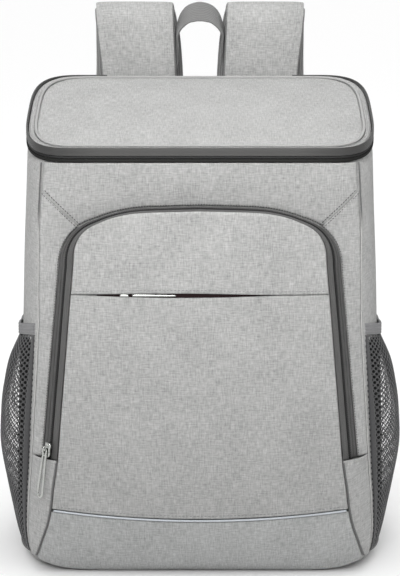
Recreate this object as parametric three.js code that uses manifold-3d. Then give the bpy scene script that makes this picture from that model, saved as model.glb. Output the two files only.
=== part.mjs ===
// Cooler backpack: an insulated tub under a sloping zipped lid, a zipped front pocket that
// swells towards its middle, two mesh side pockets, a padded back and two padded shoulder straps.
// Millimetres, +Z up. The front faces -Y and the wearer's back is at +Y. It stands on its base.
import * as THREE from "three";
import { mergeVertices } from "three/addons/utils/BufferGeometryUtils.js";
import Module from "manifold-3d";

const wasm = await Module();
wasm.setup();

// Gaps: between pieces that are sewn together, and between hard pieces that move
const SEAM_GAP = 0.5;
const RUNNING_GAP = 0.6;

// Insulated tub
const TOP_WIDTH = 302;
const BASE_WIDTH = 326;
const TAPER_CURVE = 1.4;
const DEPTH = 186;
const LID_FRONT_HEIGHT = 377;
const LID_BACK_HEIGHT = 416;
const TUB_WALL = 6;
const TUB_FLOOR = 8;
const CORNER_REACH = 46;
const CORNER_SQUARENESS = 3.4;
const BASE_ROUNDING = 15;

// Lid: padded panel with a raised welt near its edge, over a zip that runs round three sides
const LID_PAD = 8;
const LID_CROWN = 5;
const LID_CROWN_REACH = 42;
const LID_EDGE_ROLL = 4;
const LID_INSET = 0.8;
const LID_WELT_INSET = 9;
const WELT_RADIUS = 1.3;
const LID_TAPE_THICKNESS = 1.8;
const LID_UPPER_TAPE = 6.4;
const LID_COIL = 1.6;
const LID_LOWER_TAPE = 2.2;
const LID_TAPE_START = 0.8;
const LID_HINGE_WIDTH = 170;

// Outer fabric on the front and the seam where it meets the sides
const FABRIC = 2;
const CORNER_SEAM_INSET_TOP = 16.5;
const CORNER_SEAM_INSET_BASE = 9;
const CORNER_PIPING_RADIUS = 1.1;
const CORNER_PIPING_FOOT = 11;

// Front pocket: its front panel's edge and, behind it, the outer edge of the zip's tape
const PANEL_THICKNESS = 3;
const PANEL_ARCH = {
  top: 327, flat: 45, shoulderWidth: 62.6, shoulderDrop: 44, roundness: 2.43,
  endHalfWidth: 122.5, endHeight: 110,
};
const TAPE_ARCH = {
  top: 327.5, flat: 45, shoulderWidth: 76, shoulderDrop: 55, roundness: 2.2,
  endHalfWidth: 136.8, endHeight: 107,
};
const TAPE_REACH_TOP = 2.6;
const TAPE_REACH_END = 10;
const ZIP_TAPE = 1.5;
const ZIP_COIL_HEIGHT = 2.6;
const PANEL_EDGE_GAP = 3.4;
const GUSSET_NARROWEST = 0.6;
const TRANSVERSE_SEAM_HEIGHT = 104.5;
const DIAGONAL_SEAM_HEIGHT = 334;
const DIAGONAL_SEAM_ON_ARCH = 0.345;

// Front panel: the slit of its flat pocket and the reflective cord above its base panel
const PANEL_REACH = 34;
const PANEL_CROWN = 6.5;
const PANEL_DROP = 12.7;
const SLIT_HEIGHT = 255;
const SLIT_TAPE_HALF_WIDTH = 8;
const SLIT_OPENING = 3.8;
const SLIT_CENTRE = -0.18;
const SLIT_REACH = 0.82;
const REFLECTIVE_HEIGHT = 63.4;
const REFLECTIVE_RADIUS = 1.3;

// Mesh side pockets with an elastic band along the mouth
const MESH = 1.4;
const MESH_TOP = 201;
const MESH_CORNER_RISE = 10;
const MESH_FOOT = 11;
const MESH_BULGE = 19;
const BAND_HEIGHT = 10.5;
const BAND_THICKNESS = 1.6;
const BAND_BOW = 8.2;
const MESH_BACK_Y = 74;

// Padded back
const BACK_PAD = 10;
const BACK_PAD_HALF_WIDTH = 92;
const BACK_PAD_FOOT = 18;
const BACK_PAD_TOP = 398;
const BACK_PAD_CORNER = 40;

// Shoulder straps: an outer fabric on a mesh-lined pad, then webbing through a buckle
const STRAP_FACE = 3;
const STRAP_LINING = 8;
const STRAP_GAP = 0.9;
const STRAP_TAB = 12;
const WEBBING_TAIL = 55;
const STRAP_ROOT_HEIGHT = 348;
const STRAP_TOP = 479.5;
const STRAP_STANDOFF = 56;
const STRAP_END_X = 84.5;
const STRAP_WIDTH = 80;
const WEBBING_WIDTH = 25;
const WEBBING = 1.8;
const ANCHOR_HEIGHT = 34;
const ANCHOR_X = 116;
const BUCKLE_WIDTH = 33;
const BUCKLE_LENGTH = 26;
const BUCKLE_THICKNESS = 4;
const BUCKLE_BAR = 4;

// Haul handle between the straps
const HANDLE_WIDTH = 26;
const HANDLE_TOP = 472.5;
const HANDLE_ROOT_HEIGHT = 388;
const HANDLE_STANDOFF = 23;
const HANDLE_LEG_X = 40;

// Zip sliders and pulls
const SLIDER = { width: 9, length: 13, height: 3.6 };
const BAIL = { width: 2, length: 7, height: 3.8, bar: 1.2 };
const PULL = { length: 45, headWidth: 6, tailWidth: 9.5, thickness: 1.4, rim: 1.4 };
const SLIDER_HEIGHT_ON_ZIP = 117;
const LID_PULL_LENGTH = 34;
const PULL_SPLAY = 0.07;
const OUTER_TAPE_END = 0.46;
const COIL_START = 0.49;
const COIL_END = 0.61;
const INNER_TAPE_START = 0.64;
const ZIP_SEARCH_STEP = 0.001;

// Tables: each row is a section or fold. Heights of the tub are shares of its rim's height.
const TUB_SECTIONS = [
  { share: 0, inset: 1 },
  { share: 0.008, inset: 0.62 },
  { share: 0.026, inset: 0.28 },
  { share: 0.06, inset: 0.08 },
  { share: 0.11, inset: 0 },
  { share: 0.35, inset: 0 },
  { share: 0.6, inset: 0 },
  { share: 0.82, inset: 0 },
  { share: 0.955, inset: 0 },
  { share: 0.968, inset: 0.11 },
  { share: 1, inset: 0.11 },
];

// Front panel's rows: height of the row's ends and their half width, how far they stand proud of
// the tub, how much further the middle stands, and how far and how flatly the middle hangs below.
// They are shares of the arch's top and end half width, and of the panel's reach, crown and drop.
const PANEL_ROWS = [
  { height: 0.0413, halfWidth: 1.1755, reach: 0.0882, crown: -0.3077, drop: 1, flatness: 9 },
  { height: 0.0612, halfWidth: 1.1551, reach: 0.2206, crown: 0.4615, drop: 0.9606, flatness: 7 },
  { height: 0.0994, halfWidth: 1.1216, reach: 0.4265, crown: 0.6154, drop: 0.8976, flatness: 5 },
  { height: 0.1462, halfWidth: 1.0808, reach: 0.6176, crown: 0.6154, drop: 0.7717, flatness: 3 },
  { height: 0.1939, halfWidth: 1.0531, reach: 0.7647, crown: 0.6154, drop: 0.6535, flatness: 2 },
  { height: 0.2526, halfWidth: 1.0335, reach: 0.8824, crown: 0.6923, drop: 0.3937, flatness: 2 },
  { height: 0.3364, halfWidth: 1, reach: 0.9706, crown: 0.8462, drop: 0.1575, flatness: 2 },
  { height: 0.4281, halfWidth: 0.9788, reach: 1, crown: 1, drop: 0, flatness: 2 },
  { height: 0.6116, halfWidth: 0.9363, reach: 0.9559, crown: 1, drop: 0, flatness: 2 },
  { height: 0.7798, halfWidth: 0.898, reach: 0.8824, crown: 0.7692, drop: 0, flatness: 2 },
  { height: 0.8654, halfWidth: 0.8784, reach: 0.8382, crown: 0.6154, drop: 0, flatness: 2 },
  { height: 1, halfWidth: 0.3673, reach: 0.7941, crown: 0.1538, drop: 0, flatness: 2 },
];

// Mesh pocket's swell at shares of its height, as shares of MESH_BULGE
const MESH_SWELL = [
  { share: 0, swell: 0.02 },
  { share: 0.06, swell: 0.22 },
  { share: 0.14, swell: 0.44 },
  { share: 0.26, swell: 0.7 },
  { share: 0.42, swell: 0.9 },
  { share: 0.6, swell: 1 },
  { share: 0.76, swell: 0.86 },
  { share: 0.88, swell: 0.62 },
  { share: 1, swell: 0.36 },
];

// Shoulder strap's route over its own height. Behind, x and width are shares of its greatest
// distance from the back pad's face, its lower end's x and its greatest width.
const STRAP_ROUTE = [
  { rise: 0, behind: 0.125, x: 0.6509, width: 0.775 },
  { rise: 0.3, behind: 0.125, x: 0.6509, width: 0.8125 },
  { rise: 0.6, behind: 0.1339, x: 0.6746, width: 0.8375 },
  { rise: 0.8, behind: 0.1696, x: 0.6982, width: 0.8625 },
  { rise: 0.93, behind: 0.2411, x: 0.716, width: 0.8812 },
  { rise: 0.99, behind: 0.375, x: 0.7219, width: 0.8875 },
  { rise: 1, behind: 0.5, x: 0.7219, width: 0.8938 },
  { rise: 0.975, behind: 0.6429, x: 0.716, width: 0.9062 },
  { rise: 0.9, behind: 0.75, x: 0.7041, width: 0.925 },
  { rise: 0.76, behind: 0.8214, x: 0.6864, width: 0.9625 },
  { rise: 0.45, behind: 0.8929, x: 0.6746, width: 1 },
  { rise: 0, behind: 0.9643, x: 0.6864, width: 1 },
  { rise: -0.5, behind: 1, x: 0.7456, width: 0.9625 },
  { rise: -1, behind: 0.9286, x: 0.8402, width: 0.875 },
  { rise: -1.35, behind: 0.8214, x: 0.9231, width: 0.75 },
  { rise: -1.6, behind: 0.6696, x: 1, width: 0.6 },
];

// Haul handle's route from a leg's root to its top. Behind and x are shares of its greatest distance
// from the back pad's face and its legs' x, and turn and tilt are those of its width, in radians.
const HANDLE_ROUTE = [
  { rise: 0, behind: 0.6609, x: 1, turn: 1.57, tilt: 0 },
  { rise: 0.2, behind: 0.7217, x: 0.95, turn: 1.5, tilt: 0 },
  { rise: 0.36, behind: 0.9043, x: 0.825, turn: 1.15, tilt: 0 },
  { rise: 0.5, behind: 1, x: 0.65, turn: 0.6, tilt: 0 },
  { rise: 0.64, behind: 0.7826, x: 0.55, turn: 0.15, tilt: 0.15 },
  { rise: 0.78, behind: 0.6304, x: 0.525, turn: 0, tilt: 0.35 },
  { rise: 0.89, behind: 0.5435, x: 0.425, turn: 0, tilt: 0.5 },
  { rise: 0.97, behind: 0.5087, x: 0.25, turn: 0, tilt: 0.6 },
  { rise: 1, behind: 0.5, x: 0, turn: 0, tilt: 0.64 },
];

const COLOURS = {
  greyFabric: [0.62, 0.62, 0.61], shadedFabric: [0.5, 0.5, 0.5], darkTape: [0.13, 0.13, 0.13],
  blackCoil: [0.04, 0.04, 0.04], darkMesh: [0.16, 0.16, 0.17], piping: [0.2, 0.2, 0.2],
  webbing: [0.3, 0.3, 0.3], chrome: [0.85, 0.85, 0.86], reflective: [0.78, 0.82, 0.86],
  plastic: [0.08, 0.08, 0.08],
};

const lerp = THREE.MathUtils.lerp;
const halfDepth = DEPTH / 2;
const lidSlope = (LID_BACK_HEIGHT - LID_FRONT_HEIGHT) / DEPTH;
const frontFace = -halfDepth - SEAM_GAP;
const backPadFace = halfDepth + SEAM_GAP + BACK_PAD;

// Value of one column of a table at any place between its rows.
function along(table, key, at, column) {
  const last = table.length - 1;
  let i = 0;
  while (i < last - 1 && at > table[i + 1][key]) i += 1;
  const share = THREE.MathUtils.clamp((at - table[i][key]) / (table[i + 1][key] - table[i][key]), 0, 1);
  return lerp(table[i][column], table[i + 1][column], share);
}

// Shares 0 to 1 in equal steps.
function steps(count) {
  return Array.from({ length: count + 1 }, (_, i) => i / count);
}

const lidPlane = (y) => LID_FRONT_HEIGHT + lidSlope * (y + halfDepth);
const rimHeight = (y) => lidPlane(y) - LID_PAD - SEAM_GAP;
const baseInset = (share) => BASE_ROUNDING * along(TUB_SECTIONS, "share", share, "inset");
const tubHalfWidth = (share) => lerp(BASE_WIDTH, TOP_WIDTH, share ** TAPER_CURVE) / 2;

// How far forward a plan outline of that half width and half depth lies at x.
function outlineDepth(x, halfWidth, depth) {
  const over = THREE.MathUtils.clamp((Math.abs(x) - halfWidth + CORNER_REACH) / CORNER_REACH, 0, 1);
  return depth * (1 - over ** CORNER_SQUARENESS) ** (1 / CORNER_SQUARENESS);
}

// Half width of the tub's outside at a place on its side.
function sideX(y, z) {
  const share = z / rimHeight(y);
  const inset = baseInset(share);
  const reach = Math.min(1, Math.abs(y) / (halfDepth - inset));
  const curve = (1 - reach ** CORNER_SQUARENESS) ** (1 / CORNER_SQUARENESS);
  return tubHalfWidth(share) - inset - CORNER_REACH + CORNER_REACH * curve;
}

// Y of a fabric face that lies on the tub's front.
function skinY(x, z) {
  const share = z / rimHeight(-halfDepth);
  const inset = baseInset(share);
  return -outlineDepth(x, tubHalfWidth(share) - inset, halfDepth - inset) - SEAM_GAP;
}

// Closed plan outline of rounded corners, with points at the middle and at a mark on front and back.
function planOutline(halfWidth, depth, mark, cornerSteps = 8) {
  const flat = halfWidth - CORNER_REACH;
  const marked = mark ?? flat / 2;
  const side = steps(cornerSteps * 2).map((s) => {
    const angle = s * Math.PI;
    const curve = (value) => Math.sign(value) * Math.abs(value) ** (2 / CORNER_SQUARENESS);
    return [flat + CORNER_REACH * curve(Math.sin(angle)), -depth * curve(Math.cos(angle))];
  });
  const front = [-marked, 0, marked].map((x) => [x, -depth]);
  const back = front.map(([x, y]) => [-x, -y]);
  return [...front, ...side, ...back, ...side.map(([x, y]) => [-x, -y])];
}

// Closed mesh from points and triangles, turned to face out.
function closedMesh(points, triangles) {
  const volume = triangles.reduce((sum, [a, b, c]) => {
    const cross = new THREE.Vector3().crossVectors(points[b], points[c]);
    return sum + points[a].dot(cross);
  }, 0);
  const turned = volume < 0 ? triangles.map(([a, b, c]) => [a, c, b]) : triangles;
  const geometry = new THREE.BufferGeometry().setFromPoints(points);
  return geometry.setIndex(turned.flat());
}

// Skin of quads between rings of equal count, as triangles.
function quadsBetween(rings, count, wrap = true) {
  const triangles = [];
  for (let r = 0; r + 1 < rings; r += 1) {
    for (let i = 0; i < (wrap ? count : count - 1); i += 1) {
      const a = r * count + i;
      const b = r * count + ((i + 1) % count);
      triangles.push([a, b, b + count], [a, b + count, a + count]);
    }
  }
  return triangles;
}

// Solid through closed rings of points, with a fan over the first and the last.
function loft(rings) {
  const count = rings[0].length;
  const centre = (ring) => ring.reduce((sum, p) => sum.add(p), new THREE.Vector3()).divideScalar(count);
  const points = [...rings.flat(), centre(rings[0]), centre(rings.at(-1))];
  const triangles = quadsBetween(rings.length, count);
  const last = (rings.length - 1) * count;
  for (let i = 0; i < count; i += 1) {
    const next = (i + 1) % count;
    triangles.push([next, i, points.length - 2], [last + i, last + next, points.length - 1]);
  }
  return closedMesh(points, triangles);
}

// Sheet of cloth on a grid of points: two faces at these heights along its normal, and its edges.
function sheet(grid, under, over, outward) {
  const rows = grid.length;
  const columns = grid[0].length;
  const hint = new THREE.Vector3(...outward);
  const normalAt = (i, j) => {
    const du = grid[Math.min(i + 1, rows - 1)][j].clone().sub(grid[Math.max(i - 1, 0)][j]);
    const dv = grid[i][Math.min(j + 1, columns - 1)].clone().sub(grid[i][Math.max(j - 1, 0)]);
    const normal = du.cross(dv).normalize();
    return normal.dot(hint) < 0 ? normal.negate() : normal;
  };
  const layer = (height) =>
    grid.flatMap((row, i) => row.map((p, j) => p.clone().addScaledVector(normalAt(i, j), height)));
  const points = [...layer(under), ...layer(over)];
  const top = rows * columns;
  const face = quadsBetween(rows, columns, false);
  const triangles = [...face.map(([a, b, c]) => [a, c, b]), ...face.map((t) => t.map((v) => v + top))];
  const edge = [];
  for (let j = 0; j < columns - 1; j += 1) edge.push(j);
  for (let i = 0; i < rows - 1; i += 1) edge.push(i * columns + columns - 1);
  for (let j = columns - 1; j > 0; j -= 1) edge.push((rows - 1) * columns + j);
  for (let i = rows - 1; i > 0; i -= 1) edge.push(i * columns);
  edge.forEach((a, k) => {
    const b = edge[(k + 1) % edge.length];
    triangles.push([a, b, b + top], [a, b + top, a + top]);
  });
  return closedMesh(points, triangles);
}

// Solid of one section carried through stations, each with a centre and two half sizes.
function sweep(stations, section) {
  return loft(
    stations.map(({ centre, across, up, halfWidth, halfThick }) =>
      section.map(([a, b]) =>
        centre.clone().addScaledVector(across, a * halfWidth).addScaledVector(up, b * halfThick),
      ),
    ),
  );
}

const FLAT_SECTION = [[-1, -1], [1, -1], [1, 1], [-1, 1]];
const PAD_SECTION = [[-0.94, -1], [0.94, -1], [1, 0], [0.94, 1], [-0.94, 1], [-1, 0]];
const ROUND_SECTION = steps(6).slice(1).map((s) => [Math.cos(s * 2 * Math.PI), Math.sin(s * 2 * Math.PI)]);

// Stations along a list of points, with the section's second axis kept near a given direction.
function stationsAlong(points, upward, halfWidth, halfThick) {
  return points.map((centre, i) => {
    const ahead = points[Math.min(i + 1, points.length - 1)];
    const tangent = ahead.clone().sub(points[Math.max(i - 1, 0)]).normalize();
    const across = tangent.clone().cross(new THREE.Vector3(...upward)).normalize();
    const up = across.clone().cross(tangent).normalize();
    return { centre, across, up, halfWidth, halfThick };
  });
}

// Round cord of fabric, such as piping, along a list of points.
function piping(points, radius, upward) {
  return sweep(stationsAlong(points, upward, radius, radius), ROUND_SECTION);
}

function toSolid(geometry) {
  const plain = new THREE.BufferGeometry().setAttribute("position", geometry.getAttribute("position"));
  if (geometry.index) plain.setIndex(geometry.index);
  const merged = mergeVertices(plain, 1e-4);
  return new wasm.Manifold(
    new wasm.Mesh({
      numProp: 3,
      vertProperties: new Float32Array(merged.getAttribute("position").array),
      triVerts: new Uint32Array(merged.index.array),
    }),
  );
}

function toGeometry(solid) {
  const mesh = solid.getMesh();
  const geometry = new THREE.BufferGeometry();
  geometry.setAttribute("position", new THREE.BufferAttribute(new Float32Array(mesh.vertProperties), 3));
  return geometry.setIndex([...mesh.triVerts]);
}

const join = (...parts) => toGeometry(parts.map(toSolid).reduce((a, b) => a.add(b)));
const cutBy = (part, tool) => toGeometry(toSolid(part).subtract(toSolid(tool)));
const common = (part, tool) => toGeometry(toSolid(part).intersect(toSolid(tool)));

const pack = new THREE.Group();

// A named piece with its own material, from one of the colours above.
function piece(name, geometry, colour, roughness = 0.9, metalness = 0, parent = pack) {
  const color = new THREE.Color(...colour);
  const material = new THREE.MeshStandardMaterial({ color, roughness, metalness });
  const mesh = new THREE.Mesh(geometry, material);
  mesh.name = name;
  parent.add(mesh);
  return mesh;
}

// Copy on the other side, with its faces turned to point out again.
function mirrored(geometry) {
  const copy = toGeometry(toSolid(geometry)).scale(-1, 1, 1);
  const turned = [...copy.index.array];
  for (let i = 0; i < turned.length; i += 3) [turned[i], turned[i + 1]] = [turned[i + 1], turned[i]];
  return copy.setIndex(turned);
}

// The same piece on both sides, made for the right and mirrored for the left.
function pair(name, make, colour, roughness, metalness) {
  const right = make();
  piece(`${name}_right`, right, colour, roughness, metalness);
  piece(`${name}_left`, mirrored(right), colour, roughness, metalness);
}

// Tub: outer rings from the floor up to the rim, then inner rings down to the inner floor.
function tub() {
  const ring = (share, wall, height) => {
    const inset = baseInset(share) + wall;
    const outline = planOutline(tubHalfWidth(share) - inset, halfDepth - inset);
    return outline.map(([x, y]) => new THREE.Vector3(x, y, height ?? share * rimHeight(y)));
  };
  const outer = TUB_SECTIONS.map(({ share }) => ring(share, 0));
  const inner = [1, 0.8, 0.55, 0.3, 0.1].map((share) => ring(share, TUB_WALL));
  const floorShare = TUB_FLOOR / rimHeight(0);
  return loft([...outer, ...inner, ring(floorShare + 0.02, TUB_WALL), ring(floorShare, TUB_WALL, TUB_FLOOR)]);
}

// Place on the lid's rounded plan: inset from its edge, and raised from its sloping plane.
function lidRing(inset, raise, mark) {
  const outline = planOutline(TOP_WIDTH / 2 - LID_INSET - inset, halfDepth - inset, mark);
  return outline.map(([x, y]) => new THREE.Vector3(x, y, lidPlane(y) + raise));
}

// Padded lid: an edge that rolls over, a groove for the welt, and a low crown inside it.
function lidPad() {
  const groove = WELT_RADIUS + SEAM_GAP;
  return loft([
    lidRing(LID_CROWN_REACH * 0.7, -LID_PAD),
    lidRing(0, -LID_PAD),
    lidRing(0, -LID_EDGE_ROLL * 0.75),
    lidRing(LID_EDGE_ROLL * 0.3, -LID_EDGE_ROLL * 0.22),
    lidRing(LID_EDGE_ROLL, 0),
    lidRing(LID_WELT_INSET - groove, LID_CROWN * 0.04),
    lidRing(LID_WELT_INSET, -groove * 0.75),
    lidRing(LID_WELT_INSET + groove, LID_CROWN * 0.06),
    lidRing(LID_WELT_INSET + LID_CROWN_REACH / 3, LID_CROWN * 0.45),
    lidRing(LID_WELT_INSET + LID_CROWN_REACH, LID_CROWN),
  ]);
}

// Welt: a closed cord of fabric that lies in the lid's groove.
function lidWelt() {
  const centre = lidRing(LID_WELT_INSET, WELT_RADIUS * 0.42);
  const count = centre.length;
  const rings = centre.map((p, i) => {
    const tangent = centre[(i + 1) % count].clone().sub(centre[(i + count - 1) % count]).normalize();
    const across = tangent.clone().cross(new THREE.Vector3(0, 0, 1)).normalize();
    const up = across.clone().cross(tangent);
    return ROUND_SECTION.map(([a, b]) =>
      p.clone().addScaledVector(across, a * WELT_RADIUS).addScaledVector(up, b * WELT_RADIUS),
    );
  });
  const points = rings.flat();
  const sides = ROUND_SECTION.length;
  const triangles = quadsBetween(count + 1, sides).map((t) => t.map((v) => v % points.length));
  return closedMesh(points, triangles);
}

// Stretch of the lid's edge from one end of the hinge round the front to the other end.
function lidEdge(inset, drop) {
  const half = LID_HINGE_WIDTH / 2;
  const ring = lidRing(inset, -drop, half);
  const isBack = (p) => p.y > 0 && Math.abs(p.x) < half - 0.01;
  const start = ring.findIndex((p, i) => isBack(ring.at(i - 1)) && !isBack(p));
  const turned = [...ring.slice(start), ...ring.slice(0, start)];
  return turned.filter((p) => !isBack(p));
}

// One strip of the lid's zip: upright, this far down from the lid's plane and this high.
function lidStrip(drop, height, proud) {
  const low = lidEdge(-SEAM_GAP, drop + height);
  const high = lidEdge(-SEAM_GAP, drop);
  const lowOut = lidEdge(-SEAM_GAP - proud, drop + height);
  const highOut = lidEdge(-SEAM_GAP - proud, drop);
  return loft(low.map((p, i) => [p, lowOut[i], highOut[i], high[i]]));
}

const lidCoilDrop = LID_TAPE_START + LID_UPPER_TAPE + SEAM_GAP;
const lidLowerDrop = lidCoilDrop + LID_COIL + SEAM_GAP;
const lidZipFoot = lidLowerDrop + LID_LOWER_TAPE;

// Fabric hinge across the lid's back edge.
function lidHinge() {
  const half = LID_HINGE_WIDTH / 2 - SEAM_GAP;
  const y = halfDepth + SEAM_GAP;
  const top = lidPlane(halfDepth) - LID_TAPE_START;
  const grid = [top, top - lidZipFoot + LID_TAPE_START].map((z) =>
    steps(4).map((s) => new THREE.Vector3(lerp(-half, half, s), y, z)),
  );
  return sheet(grid, 0, FABRIC * 0.75, [0, 1, 0]);
}

// A plain slider with its pull, parked on the back at one end of the lid's zip.
function lidSlider() {
  const x = LID_HINGE_WIDTH / 2 + SLIDER.length / 2;
  const y = halfDepth + SEAM_GAP * 2 + LID_TAPE_THICKNESS;
  const z = lidPlane(halfDepth) - lidCoilDrop - LID_COIL / 2;
  const body = new THREE.BoxGeometry(SLIDER.length, SLIDER.height, SLIDER.width * 0.8);
  const tab = new THREE.BoxGeometry(LID_PULL_LENGTH, SLIDER.height * 0.6, PULL.headWidth);
  return join(
    body.translate(x, y + SLIDER.height / 2, z),
    tab.translate(x + LID_PULL_LENGTH / 2, y + SLIDER.height / 2, z),
  );
}

const frontSkinTop = lidPlane(-halfDepth - SEAM_GAP - LID_TAPE_THICKNESS) - lidZipFoot - SEAM_GAP;
const cornerSeamInset = (share) => lerp(CORNER_SEAM_INSET_BASE, CORNER_SEAM_INSET_TOP, share);

// Place at this height on the seam between front and side, on the tub or proud of it.
function cornerSeam(z, proud = 0) {
  const share = z / rimHeight(-halfDepth);
  const halfWidth = tubHalfWidth(share) - baseInset(share);
  const x = halfWidth - cornerSeamInset(share);
  const depth = halfDepth - baseInset(share);
  const y = -outlineDepth(x, halfWidth, depth);
  const slope = (value, reach) => (value / reach) ** (CORNER_SQUARENESS - 1) / reach;
  const outward = new THREE.Vector3(slope(x - halfWidth + CORNER_REACH, CORNER_REACH), -slope(-y, depth), 0);
  return new THREE.Vector3(x, y - SEAM_GAP, z).addScaledVector(outward.normalize(), proud);
}

// Point on an arch from its top's middle, 0, to its end, 1: flat top, round shoulder, straight side.
function archXZ(arch, s) {
  const flatEnd = 0.16;
  const shoulderEnd = 0.5;
  const sideX0 = arch.flat + arch.shoulderWidth;
  const sideZ0 = arch.top - arch.shoulderDrop;
  if (s <= flatEnd) return [(arch.flat * s) / flatEnd, arch.top];
  if (s < shoulderEnd) {
    const angle = ((s - flatEnd) / (shoulderEnd - flatEnd)) * (Math.PI / 2);
    return [
      arch.flat + arch.shoulderWidth * Math.sin(angle) ** (2 / arch.roundness),
      sideZ0 + arch.shoulderDrop * Math.cos(angle) ** (2 / arch.roundness),
    ];
  }
  const down = (s - shoulderEnd) / (1 - shoulderEnd);
  return [lerp(sideX0, arch.endHalfWidth, down), lerp(sideZ0, arch.endHeight, down)];
}

// The front panel's rows in millimetres.
const panelRows = PANEL_ROWS.map(({ height, halfWidth, reach, crown, drop, flatness }) => ({
  height: height * PANEL_ARCH.top,
  halfWidth: halfWidth * PANEL_ARCH.endHalfWidth,
  reach: reach * PANEL_REACH,
  crown: crown * PANEL_CROWN,
  drop: drop * PANEL_DROP,
  flatness,
}));
const panelFoot = panelRows[0].height;
const archSteps = [0, 0.08, 0.16, 0.2, 0.24, 0.28, 0.32, 0.36, 0.4, 0.44, 0.5, 0.6, 0.7, 0.8, 0.9, 1];
const panelReach = (z) => along(panelRows, "height", z, "reach");
const tapeRise = (z) => (z - TAPE_ARCH.endHeight) / (TAPE_ARCH.top - TAPE_ARCH.endHeight);
const tapeReach = (z) => lerp(TAPE_REACH_END, TAPE_REACH_TOP, tapeRise(z));

// Outer edge of the zip's tape and the front panel's edge, at a place along the arch.
function tapeEdge(s) {
  const [x, z] = archXZ(TAPE_ARCH, s);
  return new THREE.Vector3(x, Math.min(frontFace - tapeReach(z), skinY(x, z) - FABRIC), z);
}

function panelEdge(s) {
  const [x, z] = archXZ(PANEL_ARCH, s);
  return new THREE.Vector3(x, -halfDepth - panelReach(z), z);
}

// Strip of the pocket's gusset along the whole arch, between two shares of its width.
function archStrip(from, to, under, over) {
  const half = archSteps.map((s) => {
    const outer = tapeEdge(s);
    const inner = panelEdge(s);
    const width = outer.distanceTo(inner);
    const usable = (width - SEAM_GAP - PANEL_EDGE_GAP) / width;
    const place = (share) => outer.clone().lerp(inner, SEAM_GAP / width + share * usable);
    return [place(from), place(to)];
  });
  const flip = (p) => new THREE.Vector3(-p.x, p.y, p.z);
  const grid = [...half.slice(1).reverse().map((row) => row.map(flip)), ...half];
  const rows = grid.length;
  const middle = new THREE.Vector3(0, -halfDepth, (TAPE_ARCH.top + TAPE_ARCH.endHeight) / 2);
  const normals = grid.map((row, i) => {
    const run = grid[Math.min(i + 1, rows - 1)][0].clone().sub(grid[Math.max(i - 1, 0)][0]);
    const normal = run.cross(row[1].clone().sub(row[0])).normalize();
    return normal.dot(row[0].clone().sub(middle)) < 0 ? normal.negate() : normal;
  });
  const section = [[0, under], [1, under], [1, over], [0, over]];
  const ring = (row, i) => section.map(([j, height]) => row[j].clone().addScaledVector(normals[i], height));
  return loft(grid.map(ring));
}

const flatPoint = ([x, y]) => new THREE.Vector2(x, y);

// Block over everything above the arch and the two diagonal seams, lifted a little.
function aboveSeams(lift) {
  const [seamX, seamZ] = archXZ(TAPE_ARCH, DIAGONAL_SEAM_ON_ARCH);
  const cornerX = cornerSeam(DIAGONAL_SEAM_HEIGHT).x;
  const beyond = [cornerX + CORNER_REACH, DIAGONAL_SEAM_HEIGHT + CORNER_REACH * 0.7];
  const arch = archSteps.filter((s) => s < DIAGONAL_SEAM_ON_ARCH).map((s) => archXZ(TAPE_ARCH, s));
  const seam = [[seamX, seamZ], [cornerX, DIAGONAL_SEAM_HEIGHT], beyond];
  const half = [...arch, ...seam].map(([x, z]) => [x, z + lift]);
  const top = [[beyond[0], LID_BACK_HEIGHT], [-beyond[0], LID_BACK_HEIGHT]];
  const outline = [...half, ...top, ...half.slice(1).reverse().map(([x, z]) => [-x, z])];
  const shape = new THREE.Shape(outline.map(flatPoint));
  return new THREE.ExtrudeGeometry(shape, { depth: DEPTH, bevelEnabled: false }).rotateX(Math.PI / 2);
}

// Front skin above the pocket, down to the arch and to the two diagonal seams.
function frontTopPanel() {
  const foot = archXZ(TAPE_ARCH, DIAGONAL_SEAM_ON_ARCH)[1] - FABRIC * 2;
  const grid = steps(5).map((v) => {
    const z = lerp(foot, frontSkinTop, v);
    const reach = cornerSeam(z).x - CORNER_PIPING_RADIUS - SEAM_GAP;
    return steps(20).map((s) => {
      const x = reach * Math.sin((s - 0.5) * Math.PI);
      return new THREE.Vector3(x, skinY(x, z), z);
    });
  });
  return common(sheet(grid, 0, FABRIC, [0, -1, 0]), aboveSeams(SEAM_GAP));
}

// Cloth ruled between two edges, kept clear of the tub, with the rows given as point pairs.
function gusset(rows) {
  const grid = rows.map(([outer, inner]) =>
    steps(6).map((w) => {
      const p = outer.clone().lerp(inner, w);
      p.y = Math.min(p.y, skinY(p.x, p.z));
      return p;
    }),
  );
  return sheet(grid, 0, FABRIC, [0.6, -1, 0]);
}

// Grey strip between the corner seam and the zip, from the transverse seam to the diagonal one.
function gussetStrip() {
  const rows = steps(8).map((v) => {
    const outer = cornerSeam(lerp(TRANSVERSE_SEAM_HEIGHT + SEAM_GAP, DIAGONAL_SEAM_HEIGHT, v));
    outer.x -= CORNER_PIPING_RADIUS + SEAM_GAP;
    const inner = tapeEdge(lerp(1, DIAGONAL_SEAM_ON_ARCH, v));
    inner.y = Math.min(inner.y + FABRIC, skinY(inner.x, inner.z));
    inner.x += SEAM_GAP;
    return [outer, inner];
  });
  return cutBy(gusset(rows), aboveSeams(0));
}

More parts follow.
